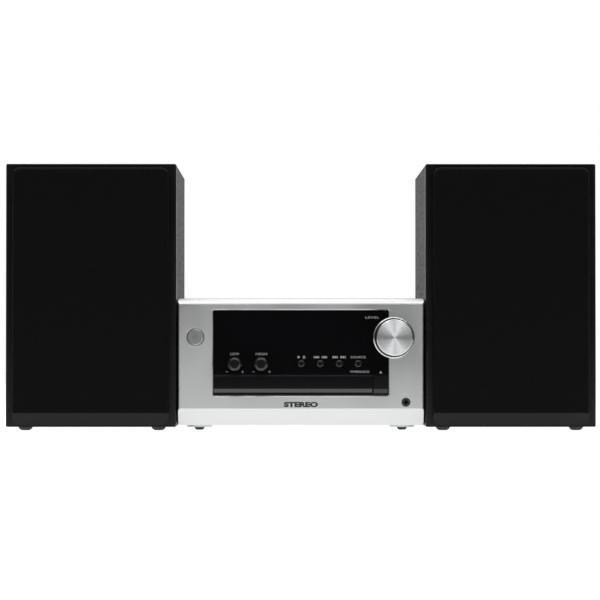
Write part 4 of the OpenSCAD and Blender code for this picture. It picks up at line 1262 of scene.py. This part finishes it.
@dataclass
class DiscDrive:
    """Tray, flap and the mechanism under them."""

    def build(self) -> None:
        """Dresses the drive's pieces."""
        flap = PolishedBlack("flap gloss", (0.006, 0.006, 0.007), 0.05, 0.7, 0.04).material()
        SHOP.dress_node("tray_flap", flap, 0.0002, sharper_than=20.0)
        SHOP.dress_node("disc_tray", Moulded("tray black", (0.020, 0.020, 0.021), 0.42).material(), 0.0003)
        dark = Moulded("drive grey", (0.055, 0.055, 0.058), 0.45).material()
        for name in ("loader_frame", "traverse", "clamp_puck"):
            SHOP.dress_node(name, dark)
        SHOP.dress_node("turntable", Moulded("turntable black", (0.025, 0.025, 0.026), 0.4).material())
        sled = BareMetal("die-cast sled", Metal.PLATED, (0.35, 0.35, 0.36), 0.4)
        SHOP.dress_node("pickup", sled.material())
        cream, rubbed = (0.72, 0.70, 0.64), (0.8, 0.8, 0.78)
        acetal = Moulded("acetal", cream, 0.4, 0.0006, 0.000006, 0.05, rubbed).material()
        for name in ("tray_gear", "motor_pinion"):
            SHOP.dress_node(name, acetal)
        along = (500.0, 500.0, 20.0)
        can = BareMetal("drawn motor can", Metal.DRAWN, (0.62, 0.62, 0.63), 0.3, stretch=along)
        SHOP.dress_node("loading_motor", can.material())


@dataclass
class Electronics:
    """Boards, heat sink and everything on the rear wall."""

    power_top: float = 49.7 * MM

    def build(self) -> None:
        """Dresses the boards and the rear."""
        board_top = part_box("main_board")[0].z + 1.7 * MM
        SHOP.dress_node("main_board", PrintedBoard("green board", 2, board_top).material())
        brown = PrintedBoard("brown board", 2, self.power_top, (0.20, 0.11, 0.045)).material()
        SHOP.dress_node("power_board", brown)
        SHOP.dress_node("control_board", PrintedBoard("front green board", 1, -1.0).material())
        along = (700.0, 700.0, 8.0)
        fins = BareMetal("extruded aluminium", Metal.DRAWN, (0.55, 0.56, 0.57), 0.42, stretch=along)
        SHOP.dress_node("heat_sink", fins.material())
        SHOP.dress_node("rear_sockets", Moulded("socket moulding", (0.03, 0.03, 0.03), 0.45).material())
        SHOP.dress_node("mains_inlet", Moulded("inlet black", (0.018, 0.018, 0.018), 0.5).material(), 0.0003)
        SHOP.dress_node("terminal_block", Moulded("terminal black", (0.018, 0.018, 0.018), 0.45).material())
        black = Moulded("lever black", (0.016, 0.016, 0.016), 0.35).material()
        red = Moulded("lever red", (0.42, 0.015, 0.012), 0.35, edge=(0.5, 0.1, 0.1)).material()
        for number, shade in ((1, black), (2, red), (3, black), (4, red)):
            SHOP.dress_node(f"terminal_lever_{number}", shade, 0.0004)


@dataclass
class RearTrim:
    """Plated shells and colour rings of the rear sockets, and the inlet's pins."""

    line_inputs: tuple[tuple[float, str, Colour], ...] = (
        (-0.040, "red", (0.45, 0.012, 0.010)),
        (-0.026, "white", (0.72, 0.72, 0.70)),
    )
    aerial_x: float = -0.064
    height: float = 0.025
    inlet: Flat = (0.082, 0.028)
    pin_gap: float = 0.0043

    def build(self) -> None:
        """Makes every piece of trim."""
        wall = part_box("chassis")[1].y
        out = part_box("rear_sockets")[1].y
        nickel = BareMetal("nickel plate", Metal.PLATED, (0.66, 0.64, 0.60), 0.22).material()
        shells = []
        for x, label, shade in self.line_inputs:
            shells.append(self._shell((x, self.height), 1.9 * MM, 4.15 * MM, wall + 0.9 * MM, out))
            ring = self._shell((x, self.height), 4.25 * MM, 5.9 * MM, wall + 0.8 * MM, wall + 1.15 * MM)
            plastic = Moulded(f"{label} ring plastic", shade, 0.4, edge=shade).material()
            SHOP.piece(f"line_ring_{label}", ring, "main_unit", "socket_black", plastic)
        shells.append(self._shell((self.aerial_x, self.height), 3.95 * MM, 4.75 * MM, wall + 1.0 * MM, out))
        SHOP.piece("socket_shells", SHOP.merged(shells), "main_unit", "socket_black", nickel)
        self._inlet_pins(wall, nickel)

    @staticmethod
    def _shell(centre: Flat, inner: float, outer: float, start: float, end: float) -> bmesh.types.BMesh:
        """Returns a thin sleeve with rounded lips that stands a hair proud of the moulding."""
        skin, lip = 0.06 * MM, 0.15 * MM
        edge = end + skin
        profile = [(inner, start), (outer + skin, start), (outer + skin, end - lip)]
        profile += [(outer - lip, edge), (inner + lip, edge), (inner, end - lip), (inner, start)]
        return SHOP.sleeve(profile, centre, 64)

    def _inlet_pins(self, wall: float, metal: bpy.types.Material) -> None:
        """Sets the two round pins in the mains inlet's recess."""
        root, tip, radius = wall - 11.0 * MM, wall - 1.42 * MM, 1.27 * MM
        pins = []
        for side in (-1, 1):
            centre = (self.inlet[0] + side * self.pin_gap, self.inlet[1])
            profile = [(0.0, root), (radius, root), (radius, tip - 0.8 * MM), (0.5 * radius, tip), (0.0, tip)]
            pins.append(SHOP.turned(profile, centre, 32))
        SHOP.piece("inlet_pins", SHOP.merged(pins), "main_unit", "socket_black", metal)


# ---------------------------------------------------------------- speakers


@dataclass
class GrilleCloth:
    """The outer skin of a grille: flat front, round top and sides, slanted band along the foot."""

    width: float
    bottom: float
    top: float
    front: float
    back: float
    hem: float
    corner: float = 6.0 * MM
    side_round: float = 3.5 * MM
    top_round: float = 4.0 * MM
    band_height: float = 10.9 * MM
    band_depth: float = 7.8 * MM
    dip: float = 0.25 * MM
    rim: float = 9.0 * MM
    slope: float = 22.0 * MM
    hem_gap: float = 0.25 * MM

    def _stations(self, low: float, high: float, extra: Sequence[float] = ()) -> list[float]:
        """Returns grid lines from low to high, close together near both ends."""
        near = [0.0, 0.25, 0.6, 1.0, 1.5, 2.1, 2.8, 3.5, 4.2, 5.0, 6.0, 7.5, 9.5, 12.0, 15.0]
        lines = [low + n * MM for n in near] + [high - n * MM for n in near] + list(extra)
        inside = [low + 15 * MM + (high - low - 30 * MM) * k / 18 for k in range(1, 18)]
        return sorted({round(v, 7) for v in lines + inside})

    def _fall(self, inset: float, radius: float) -> float:
        """Returns how far a round edge falls back at a distance inside the outline."""
        if inset >= radius:
            return 0.0
        return radius - math.sqrt(max(0.0, radius**2 - (radius - inset) ** 2))

    def _depth(self, x: float, z: float, inset: float) -> float:
        """Returns the skin's Y at a point of the front.

        Args:
            x: distance from the middle.
            z: height.
            inset: distance inside the outline.

        Returns:
            The Y of the surface.
        """
        near_top = min(1.0, max(0.0, (z - (self.top - 2 * self.corner)) / self.corner))
        radius = self.side_round + (self.top_round - self.side_round) * near_top
        back = self._fall(inset, radius)
        band = self.band_depth * (1 - (z - self.bottom) / self.band_height)
        if band > 0:
            back = max(back, band)
        edge = min(self.width / 2 - abs(x), self.top - z, z - self.bottom - self.band_height) - self.rim
        slack = min(1.0, max(0.0, edge / self.slope))
        return self.front + back + self.dip * slack * slack * (3 - 2 * slack)

    def mesh(self, middle: float) -> bmesh.types.BMesh:
        """Builds the skin as one sheet whose edge is folded round behind the frame.

        Args:
            middle: the X of the grille's middle.

        Returns:
            The mesh of the sheet's outer side.
        """
        half = self.width / 2
        across = self._stations(-half, half)
        up = self._stations(self.bottom, self.top, (self.bottom + self.band_height,))
        bm = bmesh.new()
        grid = []
        for z in up:
            grid.append([bm.verts.new(self._seat(x, z, half, middle)) for x in across])
        for low_row, high_row in zip(grid, grid[1:]):
            for k in range(len(across) - 1):
                bm.faces.new((low_row[k], low_row[k + 1], high_row[k + 1], high_row[k]))
        border = grid[0] + [row[-1] for row in grid[1:]] + list(reversed(grid[-1][:-1]))
        border += [row[0] for row in reversed(grid[1:-1])]
        self._hem(bm, border, middle)
        return bm

    def _seat(self, x: float, z: float, half: float, middle: float) -> Point:
        """Returns the place of a grid point, with the square corners drawn in to round ones."""
        cx = half - self.corner
        mid_z = (self.bottom + self.top) / 2
        cz = (self.top - self.bottom) / 2 - self.corner
        ax, az = abs(x) - cx, abs(z - mid_z) - cz
        sx, sz = math.copysign(1, x), math.copysign(1, z - mid_z)
        if ax > 0 and az > 0:
            reach = max(ax, az)
            fit = reach / math.hypot(ax, az)
            inset = self.corner - reach
            x, z = sx * (cx + ax * fit), mid_z + sz * (cz + az * fit)
        else:
            inset = self.corner - max(ax, az)
        return middle + x, self._depth(x, z, inset), z

    def _hem(self, bm: bmesh.types.BMesh, border: list[bmesh.types.BMVert], middle: float) -> None:
        """Runs the sheet back along the frame's sides and folds its edge inward behind it."""
        centre = Vector((middle, 0.0, (self.bottom + self.top) / 2))
        behind = self.back + self.hem_gap
        folds = ((0.0, self.back), (0.7 * MM, behind), (self.hem, behind))
        ring = border
        for inward, y in folds:
            following = []
            for start in border:
                pull = centre - start.co
                step_x = math.copysign(min(inward, abs(pull.x)), pull.x)
                step_z = math.copysign(min(inward, abs(pull.z)), pull.z)
                following.append(bm.verts.new((start.co.x + step_x, y, start.co.z + step_z)))
            for k in range(len(border)):
                n = (k + 1) % len(border)
                bm.faces.new((ring[k], ring[n], following[n], following[k]))
            ring = following


@dataclass
class Speaker:
    """One speaker: cabinet, baffle, drivers, port, feet and grille."""

    side: Side
    cloth: float = 0.5 * MM
    hem: float = 6.0 * MM
    roll_from: float = 39.8 * MM

    def _node(self, part: str) -> str:
        """Returns the CAD node's name for a part of this speaker."""
        return f"{self.side.value}_{part}"

    def build(self) -> None:
        """Makes and dresses the speaker."""
        side = self.side.value
        SHOP.dress_node(self._node("cabinet"), AshFoil(f"{side} ash foil").material(), 0.0006, 3)
        gloss = PolishedBlack(f"{side} baffle lacquer", (0.006, 0.006, 0.006), 0.26, 0.0, 0.10, 0.00001, 1.33)
        SHOP.dress_node(self._node("baffle"), gloss.material(), 0.0006, 3)
        mouldings = (
            ("grille_frame", "grille frame black", 0.018, 0.5, 0.0),
            ("feet", "foot rubber", 0.03, 0.7, 0.0004),
            ("port_tube", "port black", 0.016, 0.5, 0.0),
            ("cord_gland", "gland rubber", 0.014, 0.6, 0.0),
        )
        for part, label, shade, rough, ease in mouldings:
            black = Moulded(f"{side} {label}", (shade, shade, shade), rough).material()
            SHOP.dress_node(self._node(part), black, ease)
        basket = Moulded(f"{side} powder coat", (0.02, 0.02, 0.02), 0.5, 0.0006, 0.00004)
        SHOP.dress_node(self._node("woofer_frame"), basket.material(), 0.0003)
        self._cone()
        self._tweeter()
        self._cloth()
        self._driver_screws()

    def _cone(self) -> None:
        """Dresses the cone as pressed paper with a rubber roll."""
        node = self._node("woofer_cone")
        x, z = middle_of(node)
        paper = PressedPaper(f"{self.side.value} cone paper", (x, 0.0, z), self.roll_from)
        SHOP.dress_node(node, paper.material())

    def _tweeter(self) -> None:
        """Dresses the tweeter."""
        plate = Moulded(f"{self.side.value} tweeter black", (0.014, 0.014, 0.014), 0.3, 0.0004, 0.000008)
        SHOP.dress_node(self._node("tweeter"), plate.material())

    def _cloth(self) -> None:
        """Stretches the cloth over the grille's frame."""
        solid = self._node("grille_cloth")
        low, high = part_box(solid)
        skin = GrilleCloth(high.x - low.x, low.z, high.z, low.y, high.y, self.hem)
        sheet = skin.mesh(middle_of(solid)[0])
        black = KnitCloth(f"{self.side.value} grille cloth", skin.bottom + skin.band_height).material()
        piece = SHOP.piece(
            self._node("cloth_skin"),
            sheet,
            self._node("grille"),
            "grille_cloth",
            black,
            stands_for=(solid,),
            crease=50.0,
        )
        thick = piece.modifiers.new("thickness", "SOLIDIFY")
        thick.thickness = self.cloth
        thick.offset = -1.0

    def _driver_screws(self) -> None:
        """Sets four domed screws in the woofer's flange and four in the tweeter's plate."""
        steel = BareMetal(f"{self.side.value} screw steel", Metal.PLATED, (0.08, 0.08, 0.085), 0.3).material()
        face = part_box(self._node("baffle"))[0].y
        parts = []
        for node, reach in (("woofer_frame", 55.0 * MM), ("tweeter", 21.5 * MM)):
            corners = SHOP.arc(middle_of(self._node(node)), reach, 45, 315, 3)
            parts += [self._screw(at, face) for at in corners]
        heads = SHOP.merged(parts)
        SHOP.piece(self._node("driver_screws"), heads, self._node("speaker"), "basket_steel", steel)

    @staticmethod
    def _screw(at: Flat, face: float) -> bmesh.types.BMesh:
        """Returns one domed screw head with a recess."""
        head = ((0.0, 0.2), (0.5, 0.3), (0.9, 0.95), (1.6, 0.75), (2.1, 0.3), (2.2, -0.1), (0.0, -0.1))
        profile = [(radius * MM, face - proud * MM) for radius, proud in head]
        return SHOP.turned(profile, at, 32)


def main() -> None:
    """Builds the studio and every sub-assembly, and reports each piece."""
    logging.basicConfig(level=logging.INFO, format="%(name)s: %(message)s")
    Studio().build()
    for assembly in (
        UnitCase(), WindowArea(), VolumeControl(), SmallControls(), PanelFittings(), DiscDrive(),
        Electronics(), RearTrim(), Speaker(Side.LEFT), Speaker(Side.RIGHT),
    ):
        assembly.build()
        LOG.info("%s built", type(assembly).__name__)
    LOG.info("%d pieces", len(SHOP.made))


if __name__ == "__main__":
    main()
